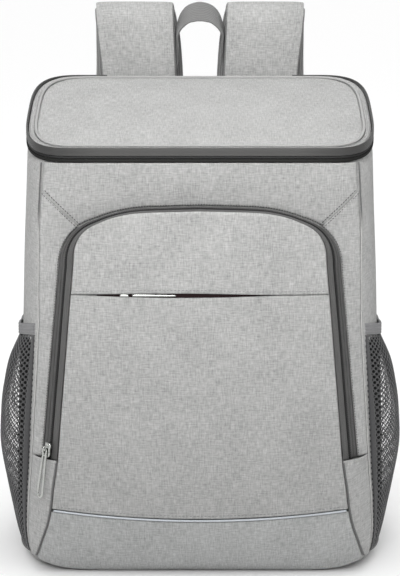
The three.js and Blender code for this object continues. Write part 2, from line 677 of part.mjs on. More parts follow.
// Grey gusset below the zip's end, narrowing to the base corner.
function lowerGusset() {
  const top = TRANSVERSE_SEAM_HEIGHT - SEAM_GAP;
    const rows = steps(7).map((v) => {
    const outer = cornerSeam(lerp(top, panelFoot - SEAM_GAP * 5, v));
    outer.x -= CORNER_PIPING_RADIUS + SEAM_GAP;
    const z = lerp(top, panelFoot + SEAM_GAP * 2, v);
    const halfWidth = along(panelRows, "height", z, "halfWidth");
    const edge = new THREE.Vector3(halfWidth, -halfDepth - panelReach(z), z);
    const clear = (PANEL_EDGE_GAP + RUNNING_GAP) / outer.distanceTo(edge);
    return [outer, edge.lerp(outer, Math.min(GUSSET_NARROWEST, clear))];
  });
  return gusset(rows);
}

// Piping along the front panel's edge, from the zip's end to the base corner.
function panelPiping() {
  const points = steps(8).map((v) => {
    const z = lerp(PANEL_ARCH.endHeight - PANEL_THICKNESS, panelFoot + PANEL_THICKNESS / 2, v);
    const x = along(panelRows, "height", z, "halfWidth");
    const y = -halfDepth - panelReach(z) + PANEL_THICKNESS * 0.3;
    return new THREE.Vector3(x + CORNER_PIPING_RADIUS + SEAM_GAP, y, z);
  });
  return piping(points, CORNER_PIPING_RADIUS, [1, -1, 0]);
}

// Piping that closes the seam between front and side, from the lid's zip to the base.
function cornerPiping() {
  const proud = CORNER_PIPING_RADIUS + SEAM_GAP * 1.8;
  const heights = steps(14).map((v) => lerp(frontSkinTop - SEAM_GAP, CORNER_PIPING_FOOT, v));
  const points = heights.map((z) => cornerSeam(z, proud));
  return piping(points, CORNER_PIPING_RADIUS, [1, -1, 0]);
}

// Point on the front panel: height of its row's ends, and u from -1, left, to 1, right.
function panelPoint(height, u) {
  const row = (column) => along(panelRows, "height", height, column);
  const { top, flat, shoulderWidth, shoulderDrop, roundness } = PANEL_ARCH;
  const rise = THREE.MathUtils.clamp((height - top) / shoulderDrop + 1, 0, 1);
  const shoulder = flat + shoulderWidth * (1 - rise ** roundness) ** (1 / roundness);
  const halfWidth = rise > 0 ? shoulder : row("halfWidth");
  const z = height - row("drop") * (1 - Math.abs(u) ** row("flatness"));
  return new THREE.Vector3(halfWidth * u, -halfDepth - row("reach") - row("crown") * (1 - u * u), z);
}

// Opening of the slit at u: a long lens, wide open left of the middle.
function slitGap(u) {
  const off = (u - SLIT_CENTRE) / SLIT_REACH;
  return SEAM_GAP + SLIT_OPENING * Math.max(0, 1 - off * off) ** 1.5;
}

// Part of the front panel between rows; heights may depend on u.
function frontPanel(heights) {
  const across = steps(14).map((s) => Math.sin((s - 0.5) * Math.PI));
  const at = (height, u) => (typeof height === "function" ? height(u) : height);
  const grid = heights.map((height) => across.map((u) => panelPoint(at(height, u), u)));
  return sheet(grid, -PANEL_THICKNESS, 0, [0, -1, 0]);
}

const shoulderHeights = steps(5).slice(0, -1).map((s) => {
  const drop = 1 - Math.cos((s * Math.PI) / 2) ** (2 / PANEL_ARCH.roundness);
  return PANEL_ARCH.top - PANEL_ARCH.shoulderDrop * drop;
});
const reflectiveGap = REFLECTIVE_RADIUS + SEAM_GAP;

// Reflective cord between the front panel and its base panel.
function reflectiveCord() {
  const points = steps(16).map((s) => {
    const u = lerp(-0.985, 0.985, s);
    const p = panelPoint(REFLECTIVE_HEIGHT, u);
    return p.add(new THREE.Vector3(0, PANEL_THICKNESS * 0.25, 0));
  });
  return piping(points, REFLECTIVE_RADIUS, [0, -1, 0]);
}

// Dark tape that closes the slit from behind, with its slider and its pull lying in the opening.
function slitTape() {
  const heights = [SLIT_HEIGHT + SLIT_TAPE_HALF_WIDTH, SLIT_HEIGHT - SLIT_TAPE_HALF_WIDTH];
  const grid = heights.map((height) => steps(8).map((s) => panelPoint(height, lerp(-0.8, 0.72, s))));
  return sheet(grid, -PANEL_THICKNESS - SEAM_GAP - ZIP_TAPE, -PANEL_THICKNESS - SEAM_GAP, [0, -1, 0]);
}

// Flat bar that lies in the slit between two places across the panel.
function slitBar(from, to, height) {
  const depth = PANEL_THICKNESS * 0.6;
  const sunk = new THREE.Vector3(0, PANEL_THICKNESS - depth, 0);
  const ends = [from, to].map((u) => panelPoint(SLIT_HEIGHT, u).add(sunk));
  return sweep(stationsAlong(ends, [0, -1, 0], height / 2, depth / 2), FLAT_SECTION);
}

// Mesh pocket's place: q from the front seam, 0, to the back seam, 1, and share of its height.
function meshPoint(q, share, bulge) {
  const z = lerp(MESH_FOOT, MESH_TOP + MESH_CORNER_RISE * (2 * q - 1) ** 2, share);
  const seam = cornerSeam(z).y + CORNER_PIPING_RADIUS * 2 + SEAM_GAP * 2;
  const y = lerp(seam, MESH_BACK_Y, q);
  const round = lerp(Math.sin(Math.PI * q) ** 0.55, Math.sin(Math.PI * q ** 1.6) ** 0.8, share ** 4);
  return new THREE.Vector3(sideX(y, z) + SEAM_GAP + bulge * round, y, z);
}

function meshPocket() {
  const grid = MESH_SWELL.map(({ share, swell }) =>
    steps(12).map((q) => meshPoint(q, share, MESH_BULGE * swell + SEAM_GAP)),
  );
  return sheet(grid, 0, MESH, [1, 0, 0]);
}

function elasticBand() {
  const bottom = SEAM_GAP;
  const grid = [bottom, BAND_HEIGHT].map((rise) =>
    steps(12).map((q) => {
      const p = meshPoint(q, 1, BAND_BOW - BAND_THICKNESS);
      p.z += rise;
      return p;
    }),
  );
  return sheet(grid, 0, BAND_THICKNESS, [1, 0, 0]);
}

// Padded back: rounded slab with a crowned face.
function backPad() {
  const middle = (BACK_PAD_TOP + BACK_PAD_FOOT) / 2;
  const halfHeight = (BACK_PAD_TOP - BACK_PAD_FOOT) / 2;
  const ring = (inset, proud) => {
    const shape = new THREE.Shape();
    const w = BACK_PAD_HALF_WIDTH - inset;
    const h = halfHeight - inset;
    const r = BACK_PAD_CORNER - inset * 0.5;
    shape.moveTo(-w + r, -h).lineTo(w - r, -h).absarc(w - r, -h + r, r, -Math.PI / 2, 0);
    shape.absarc(w - r, h - r, r, 0, Math.PI / 2).absarc(-w + r, h - r, r, Math.PI / 2, Math.PI);
    shape.absarc(-w + r, -h + r, r, Math.PI, Math.PI * 1.5);
    const y = halfDepth + SEAM_GAP + proud;
    return shape.getPoints(4).slice(0, -1).map((p) => new THREE.Vector3(p.x, y, middle + p.y));
  };
  return loft([ring(0, 0), ring(0, BACK_PAD * 0.5), ring(BACK_PAD * 0.25, BACK_PAD * 0.85), ring(BACK_PAD * 0.7, BACK_PAD)]);
}

const handleRise = HANDLE_TOP - HANDLE_ROOT_HEIGHT;
const strapRise = STRAP_TOP - STRAP_ROOT_HEIGHT - (STRAP_FACE + STRAP_LINING) / 2;

function strapPoint({ rise, behind, x }) {
  const y = backPadFace + behind * STRAP_STANDOFF;
  return new THREE.Vector3(x * STRAP_END_X, y, STRAP_ROOT_HEIGHT + rise * strapRise);
}

// Strap's stations, from its root on the back to its lower end; up points to its outer face.
function strapStations(offset, thickness) {
  const centres = STRAP_ROUTE.map(strapPoint);
  const curve = new THREE.CatmullRomCurve3(centres);
  return steps(26).map((s) => {
    const tangent = curve.getTangent(s);
    const across = new THREE.Vector3(1, 0, 0);
    const up = across.clone().cross(tangent).normalize();
    const centre = curve.getPoint(s).addScaledVector(up, offset);
    const at = s * (STRAP_ROUTE.length - 1);
    const i = Math.min(Math.floor(at), STRAP_ROUTE.length - 2);
    const width = STRAP_WIDTH * lerp(STRAP_ROUTE[i].width, STRAP_ROUTE[i + 1].width, at - i);
    return { centre, across, up, halfWidth: width / 2, halfThick: thickness / 2 };
  });
}

const strapFace = () => sweep(strapStations((STRAP_LINING + STRAP_GAP) / 2, STRAP_FACE), PAD_SECTION);
const strapLining = () => sweep(strapStations(-(STRAP_FACE + STRAP_GAP) / 2, STRAP_LINING), PAD_SECTION);

// Ribbon of webbing through points, its width along a direction given at each.
function ribbon(points, widthways, width, thickness = WEBBING) {
  const stations = points.map((centre, i) => {
    const ahead = points[Math.min(i + 1, points.length - 1)];
    const tangent = ahead.clone().sub(points[Math.max(i - 1, 0)]).normalize();
    const across = widthways[i].clone().addScaledVector(tangent, -widthways[i].dot(tangent)).normalize();
    const up = tangent.clone().cross(across);
    return { centre, across, up, halfWidth: width / 2, halfThick: thickness / 2 };
  });
  return sweep(stations, FLAT_SECTION);
}

const loopRadius = Math.hypot(BUCKLE_BAR, BUCKLE_THICKNESS) / 2 + SEAM_GAP + WEBBING / 2;
const anchorFace = halfDepth + SEAM_GAP + WEBBING;

// Frame of the strap's lower end: the anchor below it, the way down to it and the way out.
function strapFoot() {
  const end = strapPoint(STRAP_ROUTE.at(-1));
  const anchor = new THREE.Vector3(ANCHOR_X, anchorFace + SEAM_GAP * 3 + WEBBING / 2, ANCHOR_HEIGHT);
  const down = anchor.clone().sub(end).setX(0).normalize();
  const out = new THREE.Vector3(0, -down.z, down.y);
  const at = (along, proud) => end.clone().addScaledVector(down, along).addScaledVector(out, proud);
  return { end, anchor, down, out, at };
}

// Webbing that passes round a bar, from points on its inner run to points on its outer run.
function loopedWebbing(foot, bar, innerRun, outerRun) {
  const away = Math.sign(innerRun.at(-1).clone().sub(foot.at(bar, 0)).dot(foot.down));
  const turn = steps(8).map((s) => {
    const angle = (s - 0.5) * Math.PI;
    return foot.at(bar - away * loopRadius * Math.cos(angle), loopRadius * Math.sin(angle));
  });
  const points = [...innerRun, ...turn, ...outerRun];
  return ribbon(points, points.map(() => new THREE.Vector3(1, 0, 0)), WEBBING_WIDTH);
}

const buckleBars = [STRAP_TAB + BUCKLE_BAR / 2, STRAP_TAB + BUCKLE_LENGTH - BUCKLE_BAR / 2];

// Short webbing that holds the buckle to the strap's end.
function strapTab() {
  const foot = strapFoot();
  const start = SEAM_GAP * 3;
  return loopedWebbing(foot, buckleBars[0], [foot.at(start, -loopRadius)], [foot.at(start, loopRadius)]);
}

// Adjusting webbing: up from the anchor, round the buckle's far bar, with a short free tail.
function strapWebbing() {
  const foot = strapFoot();
  const innerRun = [foot.anchor, foot.at(buckleBars[1] + BUCKLE_LENGTH / 2, -loopRadius)];
  return loopedWebbing(foot, buckleBars[1], innerRun, [foot.at(buckleBars[1] + WEBBING_TAIL, loopRadius)]);
}

// Buckle: a flat frame with a slot on each side of its middle bar.
function strapBuckle() {
  const foot = strapFoot();
  const slot = (BUCKLE_LENGTH - BUCKLE_BAR * 3) / 2;
  const half = BUCKLE_WIDTH / 2;
  const box = (w, from, to) => [[-w, from], [w, from], [w, to], [-w, to]].map(flatPoint);
  const shape = new THREE.Shape(box(half, 0, BUCKLE_LENGTH));
  for (const start of [BUCKLE_BAR, BUCKLE_BAR * 2 + slot]) {
    shape.holes.push(new THREE.Path(box(WEBBING_WIDTH / 2 + RUNNING_GAP, start, start + slot)));
  }
  const plate = new THREE.ExtrudeGeometry(shape, { depth: BUCKLE_THICKNESS, bevelEnabled: false });
  plate.translate(0, STRAP_TAB, -BUCKLE_THICKNESS / 2);
  const across = new THREE.Vector3(1, 0, 0);
  const third = across.clone().cross(foot.down);
  return plate.applyMatrix4(new THREE.Matrix4().makeBasis(across, foot.down, third).setPosition(foot.end));
}

// Anchor: folded webbing sewn to the back's lower corner.
function strapAnchor() {
  const patch = new THREE.BoxGeometry(WEBBING_WIDTH * 1.3, WEBBING, WEBBING_WIDTH);
  return patch.translate(ANCHOR_X, anchorFace - WEBBING / 2, ANCHOR_HEIGHT);
}

// Haul handle: an arch of webbing whose legs turn and lie on the straps' linings.
function haulHandle() {
  const half = HANDLE_ROUTE.map((row) => ({
    point: new THREE.Vector3(
      row.x * HANDLE_LEG_X,
      backPadFace + row.behind * HANDLE_STANDOFF,
      HANDLE_ROOT_HEIGHT + row.rise * handleRise,
    ),
    widthways: new THREE.Vector3(
      Math.sin(row.turn),
      Math.cos(row.turn) * Math.cos(row.tilt),
      Math.sin(row.tilt),
    ),
  }));
  const other = half.slice(0, -1).reverse().map(({ point, widthways }) => ({
    point: new THREE.Vector3(-point.x, point.y, point.z),
    widthways: new THREE.Vector3(-widthways.x, widthways.y, widthways.z),
  }));
  const all = [...half, ...other];
  return ribbon(all.map((h) => h.point), all.map((h) => h.widthways), HANDLE_WIDTH);
}

// Group at this height on the left of the front pocket's zip, on its coil: Y up along it, Z out of it.
function zipSpot(height) {
  const coil = (s) => tapeEdge(s).lerp(panelEdge(s), (COIL_START + COIL_END) / 2);
  let s = 1;
  while (coil(s).z < height) s -= ZIP_SEARCH_STEP;
  const up = coil(s - ZIP_SEARCH_STEP * 20).sub(coil(s + ZIP_SEARCH_STEP * 20)).normalize();
  const out = panelEdge(s).sub(tapeEdge(s)).cross(up).normalize();
  if (out.x < 0) out.negate();
  const origin = coil(s).addScaledVector(out, ZIP_COIL_HEIGHT - ZIP_TAPE + RUNNING_GAP);
  for (const v of [origin, up, out]) v.x *= -1;
  const group = new THREE.Group();
  group.applyMatrix4(new THREE.Matrix4().makeBasis(up.clone().cross(out), up, out).setPosition(origin));
  return group;
}

const pullAxisHeight = SLIDER.height + (BAIL.height - BAIL.bar) / 2;

// Slider: a rounded body with a bridge along it.
function pocketSlider() {
  const body = new THREE.CylinderGeometry(SLIDER.width / 2, SLIDER.width * 0.38, SLIDER.length, 10);
  body.scale(1, 1, SLIDER.height / SLIDER.width).translate(0, 0, SLIDER.height / 2);
  const footHeight = BAIL.height + SLIDER.height / 2;
  const foot = (y) => {
    const post = new THREE.BoxGeometry(BAIL.width, BAIL.bar, footHeight);
    return post.translate(0, y, SLIDER.height + BAIL.height - footHeight / 2);
  };
  const reach = (BAIL.length - BAIL.bar) / 2;
  const top = new THREE.BoxGeometry(BAIL.width, BAIL.length, BAIL.bar);
  top.translate(0, 0, SLIDER.height + BAIL.height - BAIL.bar / 2);
  return join(body, foot(reach), foot(-reach), top);
}

// Pull: a long open loop, wider at its tail, whose head bar turns under the slider's bridge.
function pocketPull() {
  const head = PULL.headWidth / 2;
  const tail = PULL.tailWidth / 2;
  const bar = PULL.thickness / 2;
  const tailCentre = bar - PULL.length + tail;
  const shape = new THREE.Shape();
  shape.moveTo(-head, bar).lineTo(-tail, tailCentre).absarc(0, tailCentre, tail, Math.PI, Math.PI * 2);
  shape.lineTo(head, bar);
  const eye = BAIL.width / 2 + RUNNING_GAP;
  const eyeEnd = -BAIL.length / 2 - RUNNING_GAP * 3;
  shape.holes.push(new THREE.Path([[-eye, -bar], [-eye, eyeEnd], [eye, eyeEnd], [eye, -bar]].map(flatPoint)));
  const slot = new THREE.Path();
  const slotTop = eyeEnd - PULL.rim;
  slot.moveTo(-eye, slotTop).lineTo(-tail + PULL.rim, tailCentre);
  slot.absarc(0, tailCentre, tail - PULL.rim, Math.PI, Math.PI * 2).lineTo(eye, slotTop);
  shape.holes.push(slot);
  const settings = { depth: PULL.thickness, bevelEnabled: false, curveSegments: 8 };
  const loop = new THREE.ExtrudeGeometry(shape, settings);
  return loop.translate(0, 0, -PULL.thickness / 2);
}

pack.name = "cooler_backpack";
const grey = COLOURS.greyFabric;
piece("insulated_tub", tub(), grey);
piece("lid_pad", lidPad(), grey);
piece("lid_welt", lidWelt(), grey);
piece("lid_zip_tape_upper", lidStrip(LID_TAPE_START, LID_UPPER_TAPE, LID_TAPE_THICKNESS), COLOURS.darkTape);
piece("lid_zip_coil", lidStrip(lidCoilDrop, LID_COIL, LID_TAPE_THICKNESS * 0.7), COLOURS.blackCoil);
piece("lid_zip_tape_lower", lidStrip(lidLowerDrop, LID_LOWER_TAPE, LID_TAPE_THICKNESS), COLOURS.darkTape);
piece("lid_hinge", lidHinge(), grey);
pair("lid_slider", lidSlider, COLOURS.chrome, 0.2, 1);
piece("front_top_panel", frontTopPanel(), grey);
pair("gusset_strip", gussetStrip, grey);
piece("pocket_zip_tape_outer", archStrip(0, OUTER_TAPE_END, -ZIP_TAPE, 0), COLOURS.darkTape);
const coilStrip = archStrip(COIL_START, COIL_END, -ZIP_TAPE, ZIP_COIL_HEIGHT - ZIP_TAPE);
piece("pocket_zip_coil", coilStrip, COLOURS.blackCoil);
piece("pocket_zip_tape_inner", archStrip(INNER_TAPE_START, 1, -ZIP_TAPE, 0), COLOURS.darkTape);
pair("lower_gusset", lowerGusset, grey);
pair("panel_piping", panelPiping, COLOURS.piping);
pair("corner_piping", cornerPiping, COLOURS.piping);
const slitTop = (u) => SLIT_HEIGHT + slitGap(u) / 2;
const slitFoot = (u) => SLIT_HEIGHT - slitGap(u) / 2;
const heightsAt = (...shares) => shares.map((share) => share * PANEL_ARCH.top);
const upperHeights = [...shoulderHeights, ...heightsAt(0.8654, 0.8196), slitTop];
const middleHeights = heightsAt(0.6972, 0.6116, 0.5199, 0.4281, 0.3364, 0.2936, 0.2526);
const baseHeights = heightsAt(0.1462, 0.0994, 0.0612, 0.0413);
piece("pocket_panel_upper", frontPanel(upperHeights), grey);
const lowerHeights = [slitFoot, ...middleHeights, REFLECTIVE_HEIGHT + reflectiveGap];
piece("pocket_panel_lower", frontPanel(lowerHeights), grey);
piece("pocket_panel_base", frontPanel([REFLECTIVE_HEIGHT - reflectiveGap, ...baseHeights]), grey);
piece("reflective_cord", reflectiveCord(), COLOURS.reflective, 0.4);
piece("slit_zip_tape", slitTape(), COLOURS.blackCoil);
piece("slit_slider", slitBar(-0.62, -0.55, 2.3), COLOURS.chrome, 0.2, 1);
piece("slit_pull", slitBar(-0.53, -0.18, 2.2), COLOURS.chrome, 0.2, 1);
const sliderSpot = zipSpot(SLIDER_HEIGHT_ON_ZIP);
const pullPivot = new THREE.Group();
pullPivot.position.z = pullAxisHeight;
pullPivot.rotation.z = -PULL_SPLAY;
sliderSpot.add(pullPivot);
pack.add(sliderSpot);
piece("pocket_slider", pocketSlider(), COLOURS.chrome, 0.2, 1, sliderSpot);
piece("pocket_pull", pocketPull(), COLOURS.chrome, 0.2, 1, pullPivot);
pair("mesh_pocket", meshPocket, COLOURS.darkMesh);
pair("elastic_band", elasticBand, COLOURS.webbing);
piece("back_pad", backPad(), COLOURS.darkMesh);
pair("strap_face", strapFace, grey);
pair("strap_lining", strapLining, COLOURS.darkMesh);
pair("strap_tab", strapTab, COLOURS.webbing);
pair("strap_buckle", strapBuckle, COLOURS.plastic, 0.5);
pair("strap_webbing", strapWebbing, COLOURS.webbing);
pair("strap_anchor", strapAnchor, COLOURS.webbing);
piece("haul_handle", haulHandle(), COLOURS.webbing);

// The origin is under the middle of the whole bag, on the surface that it stands on.
pack.updateMatrixWorld(true);
const whole = new THREE.Box3().setFromObject(pack, true);
const middle = whole.getCenter(new THREE.Vector3());
pack.position.set(-middle.x, -middle.y, -whole.min.z);

export default pack;
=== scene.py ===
import math

import bmesh
import bpy
import numpy as np
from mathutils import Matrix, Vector


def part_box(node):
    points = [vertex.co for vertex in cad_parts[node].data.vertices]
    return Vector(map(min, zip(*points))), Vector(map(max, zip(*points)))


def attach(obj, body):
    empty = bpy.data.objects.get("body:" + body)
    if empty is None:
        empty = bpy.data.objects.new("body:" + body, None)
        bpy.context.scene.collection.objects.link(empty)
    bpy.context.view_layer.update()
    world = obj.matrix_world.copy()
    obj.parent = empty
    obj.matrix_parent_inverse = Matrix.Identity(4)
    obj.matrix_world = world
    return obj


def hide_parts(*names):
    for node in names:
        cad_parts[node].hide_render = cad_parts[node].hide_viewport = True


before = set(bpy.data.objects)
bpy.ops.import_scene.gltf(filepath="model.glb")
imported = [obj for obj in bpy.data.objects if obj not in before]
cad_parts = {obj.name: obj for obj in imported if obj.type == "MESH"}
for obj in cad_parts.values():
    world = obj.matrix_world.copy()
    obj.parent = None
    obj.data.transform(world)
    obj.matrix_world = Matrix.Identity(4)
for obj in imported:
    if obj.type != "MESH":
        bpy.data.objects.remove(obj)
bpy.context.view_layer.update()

# %% [markdown]
# ## The camera comes first
# A product photograph is taken from far off with a long lens, so that the bag looks upright. The bag
# is seen from 12 degrees above, which shows a band of the lid. The camera's place is worked out from
# the point it aims at, so one number changes the height of the view without moving the bag in it.
# %% Camera
tub_low, tub_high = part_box("insulated_tub")
MIDDLE_Y = (tub_low.y + tub_high.y) / 2
AIM = Vector((0, MIDDLE_Y, 0.235))
DISTANCE = 2.2
ELEVATION = math.radians(12)
camera = bpy.data.objects.new("camera", bpy.data.cameras.new("camera"))
camera.data.lens = 152.6
camera.location = AIM + DISTANCE * Vector((0, -math.cos(ELEVATION), math.sin(ELEVATION)))
camera.rotation_euler = (math.pi / 2 - ELEVATION, 0, 0)
bpy.context.scene.collection.objects.link(camera)
bpy.context.scene.camera = camera
print("camera at", [round(v, 3) for v in camera.location])

# %% [markdown]
# ## The bag's own sizes
# These are the sizes that the frame was drawn with, in millimetres, measured about the middle of the
# tub. They are written once here, so that a cloth surface lies exactly over the solid it stands for.
# %% Sizes
SEAM_GAP = 0.5
HALF_DEPTH = 93.0
TOP_HALF, BASE_HALF = 151.0, 163.0
CORNER_REACH, SQUARENESS = 46.0, 3.4
LID_FRONT, LID_BACK = 377.0, 416.0
FABRIC = 2.0
BACK_FACE = HALF_DEPTH + SEAM_GAP + 10


def lid_plane(y):
    """The lid's height: a straight slope from its front edge up to its back edge."""
    return LID_FRONT + (LID_BACK - LID_FRONT) * (y + HALF_DEPTH) / (2 * HALF_DEPTH)


def rim_height(y):
    """The tub's rim lies a lid's thickness and a seam's gap below the lid's plane."""
    return lid_plane(y) - 8.5


def tub_half(share):
    """Half width at a share of the height: from the base to the rim by the share to the power 1.4."""
    return BASE_HALF + (TOP_HALF - BASE_HALF) * np.clip(share, 0, 1) ** 1.4


def base_inset(share):
    """The bottom edge curves in by 15 mm as a superellipse over the lowest 11 hundredths."""
    t = np.clip(1 - share / 0.11, 0, 1)
    return 15 * (1 - (1 - t**2.2) ** (1 / 2.2))


def outline_depth(x, half, depth):
    """How far forward the plan lies at x: full depth on the flat, then down a superellipse corner."""
    over = np.clip((np.abs(x) - half + CORNER_REACH) / CORNER_REACH, 0, 1)
    return depth * (1 - over**SQUARENESS) ** (1 / SQUARENESS)


def skin_y(x, z):
    """Y of the cloth's inner face on the tub's front: minus the plan's depth, less a seam's gap."""
    share = z / rim_height(-HALF_DEPTH)
    inset = base_inset(share)
    return -outline_depth(x, tub_half(share) - inset, HALF_DEPTH - inset) - SEAM_GAP


def side_x(y, z):
    """Half width of the tub at a place on its side: the corner's superellipse solved for x."""
    share = z / rim_height(y)
    inset = base_inset(share)
    reach = np.clip(np.abs(y) / (HALF_DEPTH - inset), 0, 1)
    return tub_half(share) - inset - CORNER_REACH * (1 - (1 - reach**SQUARENESS) ** (1 / SQUARENESS))


print("lid slope:", round(math.degrees(math.atan2(LID_BACK - LID_FRONT, 2 * HALF_DEPTH)), 1), "degrees")

# %% [markdown]
# ## From a grid of points to a piece of cloth
# Cloth is a surface with two directions, warp and weft. A grid of points keeps both: its rows and
# columns become quads, and the distance walked along them becomes the UV map, in metres, so that a
# weave has its real thread size on every piece. Solidify then gives the cloth its thickness.
# %% Grid helpers
def mix(a, b, t):
    """Straight line from a to b as t goes from 0 to 1."""
    return a + (b - a) * t


def unit(v):
    """Vectors of length one along the last axis."""
    return v / np.maximum(np.linalg.norm(v, axis=-1, keepdims=True), 1e-12)


def signed_power(v, power):
    """The size of v to a power, with v's sign."""
    return np.sign(v) * np.abs(v) ** power


def smooth_table(xs, ys, x):
    """Cubic Hermite curve through a table's rows, with slopes that never overshoot a row."""
    xs, ys = np.asarray(xs, float), np.asarray(ys, float)
    step = np.diff(ys) / np.diff(xs)
    slope = np.concatenate([[step[0]], (step[:-1] + step[1:]) / 2, [step[-1]]])
    slope[1:-1][step[:-1] * step[1:] <= 0] = 0
    x = np.clip(x, xs[0], xs[-1])
    i = np.clip(np.searchsorted(xs, x) - 1, 0, len(xs) - 2)
    h = xs[i + 1] - xs[i]
    t = (x - xs[i]) / h
    return (
        ys[i] * (1 + 2 * t) * (1 - t) ** 2
        + ys[i + 1] * t * t * (3 - 2 * t)
        + h * t * (1 - t) * (slope[i] * (1 - t) - slope[i + 1] * t)
    )


def wander(a, b, size, seed):
    """Soft unevenness from -1 to 1: a sum of five sine waves in seeded directions, about size long."""
    rng = np.random.default_rng(seed)
    total = 0
    turns, phases, stretches = rng.uniform(0, 6.28, 5), rng.uniform(0, 6.28, 5), rng.uniform(0.7, 1.9, 5)
    for turn, phase, stretch in zip(turns, phases, stretches):
        total = total + np.sin((a * np.cos(turn) + b * np.sin(turn)) * 6.28 * stretch / size + phase)
    return total / 5


def grid_faces(rows, columns, wrap):
    """Quads between neighbours of a grid; with wrap, the last column joins the first."""
    r, c = np.meshgrid(np.arange(rows - 1), np.arange(columns if wrap else columns - 1), indexing="ij")
    d = (c + 1) % columns
    row, below = r * columns, (r + 1) * columns
    return np.stack([row + c, row + d, below + d, below + c], -1).reshape(-1, 4)


def walked(points, axis):
    """Distance walked along one direction of a grid, from its first row or column."""
    length = np.linalg.norm(np.diff(points, axis=axis), axis=-1)
    start = np.zeros_like(np.take(length, [0], axis=axis))
    return np.concatenate([start, np.cumsum(length, axis=axis)], axis=axis)


def way_along(line):
    """Distance walked to each point of a line."""
    return walked(line[None], 1)[0]


def read_off(values, way, at):
    """Rows of values at the places asked for, straight between those they were given at."""
    return np.stack([np.interp(at, way, values[:, k]) for k in range(3)], -1)


def surface(name, points, wrap=False, uv=None, hint=None, thick=0):
    """Makes the mesh: points (rows, columns, 3) in mm, faces turned to the hint, or out of a closed shape.

    A wrapped surface is welded. Its uv may have one more column than its points, or the first is used again.
    """
    rows, columns = points.shape[:2]
    looped = np.concatenate([points, points[:, :1]], axis=1) if wrap else points
    if uv is None:
        across = walked(looped, 1)
        uv = np.stack([across - across[:, looped.shape[1] // 2][:, None], walked(looped, 0)], -1)
    elif wrap and uv.shape[1] == columns:
        uv = np.concatenate([uv, uv[:, :1]], axis=1)
    faces = grid_faces(rows, columns, wrap)
    corner_uv = uv.reshape(-1, 2)[grid_faces(rows, looped.shape[1], False)]
    flat = points.reshape(-1, 3)
    a, b, c, d = (flat[faces[:, k]] for k in range(4))
    normals = np.cross(c - a, d - b)
    out = (normals @ np.asarray(hint, float)).sum() if hint is not None else (a * normals).sum()
    if out < 0:
        faces, corner_uv = faces[:, ::-1], corner_uv[:, ::-1]
    return piece_from(name, flat, faces, corner_uv, thick, weld=wrap)


def piece_from(name, flat, faces, corner_uv, thick=0, weld=False):
    """Writes points in mm and quads into a mesh with its UV map, smooth shaded, in the bag's frame."""
    mesh = bpy.data.meshes.new(name)
    mesh.from_pydata((flat * 0.001 + np.array([0, MIDDLE_Y, 0])).tolist(), [], faces.tolist())
    layer = mesh.uv_layers.new(name="cloth")
    layer.data.foreach_set("uv", (corner_uv * 0.001).ravel())
    mesh.polygons.foreach_set("use_smooth", [True] * len(faces))
    if weld:
        work = bmesh.new()
        work.from_mesh(mesh)
        bmesh.ops.remove_doubles(work, verts=work.verts, dist=2e-5)
        bmesh.ops.dissolve_degenerate(work, edges=work.edges, dist=1e-6)
        work.to_mesh(mesh)
        work.free()
    obj = bpy.data.objects.new(name, mesh)
    bpy.context.scene.collection.objects.link(obj)
    if thick:
        modifier = obj.modifiers.new("cloth thickness", "SOLIDIFY")
        modifier.thickness, modifier.offset = thick * 0.001, -1
    return obj


def finish_piece(obj, material, nodes, body="root"):
    """Gives a piece its material, the CAD nodes it hides and the body it rides on."""
    obj.data.materials.append(material)
    if nodes:
        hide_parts(*nodes)
    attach(obj, body)
    print(obj.name, len(obj.data.vertices), "points")


def mirror_points(points):
    """The same grid on the other side of the bag."""
    return points * np.array([-1, 1, 1])


SIDES = (("right", lambda points: points), ("left", mirror_points))


# %% [markdown]
# ## A profile carried along a path
# Piping, webbing, tapes and straps are one cross section carried along a line. At each point of the
# line three directions are kept: along it, across it, and up out of it.
# %% Sweep helpers
def directions(path, upward):
    """Across and up at each point: across is the path's own direction crossed with upward."""
    run = unit(np.gradient(path, axis=0))
    across = unit(np.cross(run, np.asarray(upward, float)))
    return across, np.cross(across, run)


def sweep(path, across, up, section):
    """Places section (k, 2) or (n, k, 2) at each of n points: across times a, plus up times b."""
    section = np.asarray(section, float)
    if section.ndim == 2:
        section = np.broadcast_to(section, (len(path), *section.shape))
    return path[:, None] + across[:, None] * section[..., :1] + up[:, None] * section[..., 1:]


def round_section(radius, sides=12):
    """A circle's points."""
    turn = np.linspace(0, 2 * math.pi, sides, endpoint=False)
    return radius * np.stack([np.cos(turn), np.sin(turn)], -1)


def soft_section(half_width, half_thick, power=4.0, sides=32):
    """A flat oval: a superellipse of that half width and half thickness."""
    turn = np.linspace(0, 2 * math.pi, sides, endpoint=False)
    across, up = signed_power(np.cos(turn), 2 / power), signed_power(np.sin(turn), 2 / power)
    return np.stack([half_width * across, half_thick * up], -1)


def rounded_rectangle(half_width, half_height, radius, steps):
    """Points round a rectangle: a quarter circle at each corner, from the upper right one on."""
    turn = np.linspace(0, math.pi / 2, steps)
    corners = []
    for quarter, (sx, sy) in enumerate(((1, 1), (-1, 1), (-1, -1), (1, -1))):
        angle = turn + quarter * math.pi / 2
        x = sx * (half_width - radius) + radius * np.cos(angle)
        corners.append(np.stack([x, sy * (half_height - radius) + radius * np.sin(angle)], -1))
    return np.concatenate(corners)


def closed_ends(rows):
    """Adds a pole to both ends of a swept tube, so that it has no hole."""
    first, last = rows[:1].mean(1, keepdims=True), rows[-1:].mean(1, keepdims=True)
    size = rows.shape[1]
    near = [mix(rows[:1], first, 0.5), mix(rows[-1:], last, 0.5)]
    return np.concatenate([np.repeat(first, size, 1), near[0], rows, near[1], np.repeat(last, size, 1)])


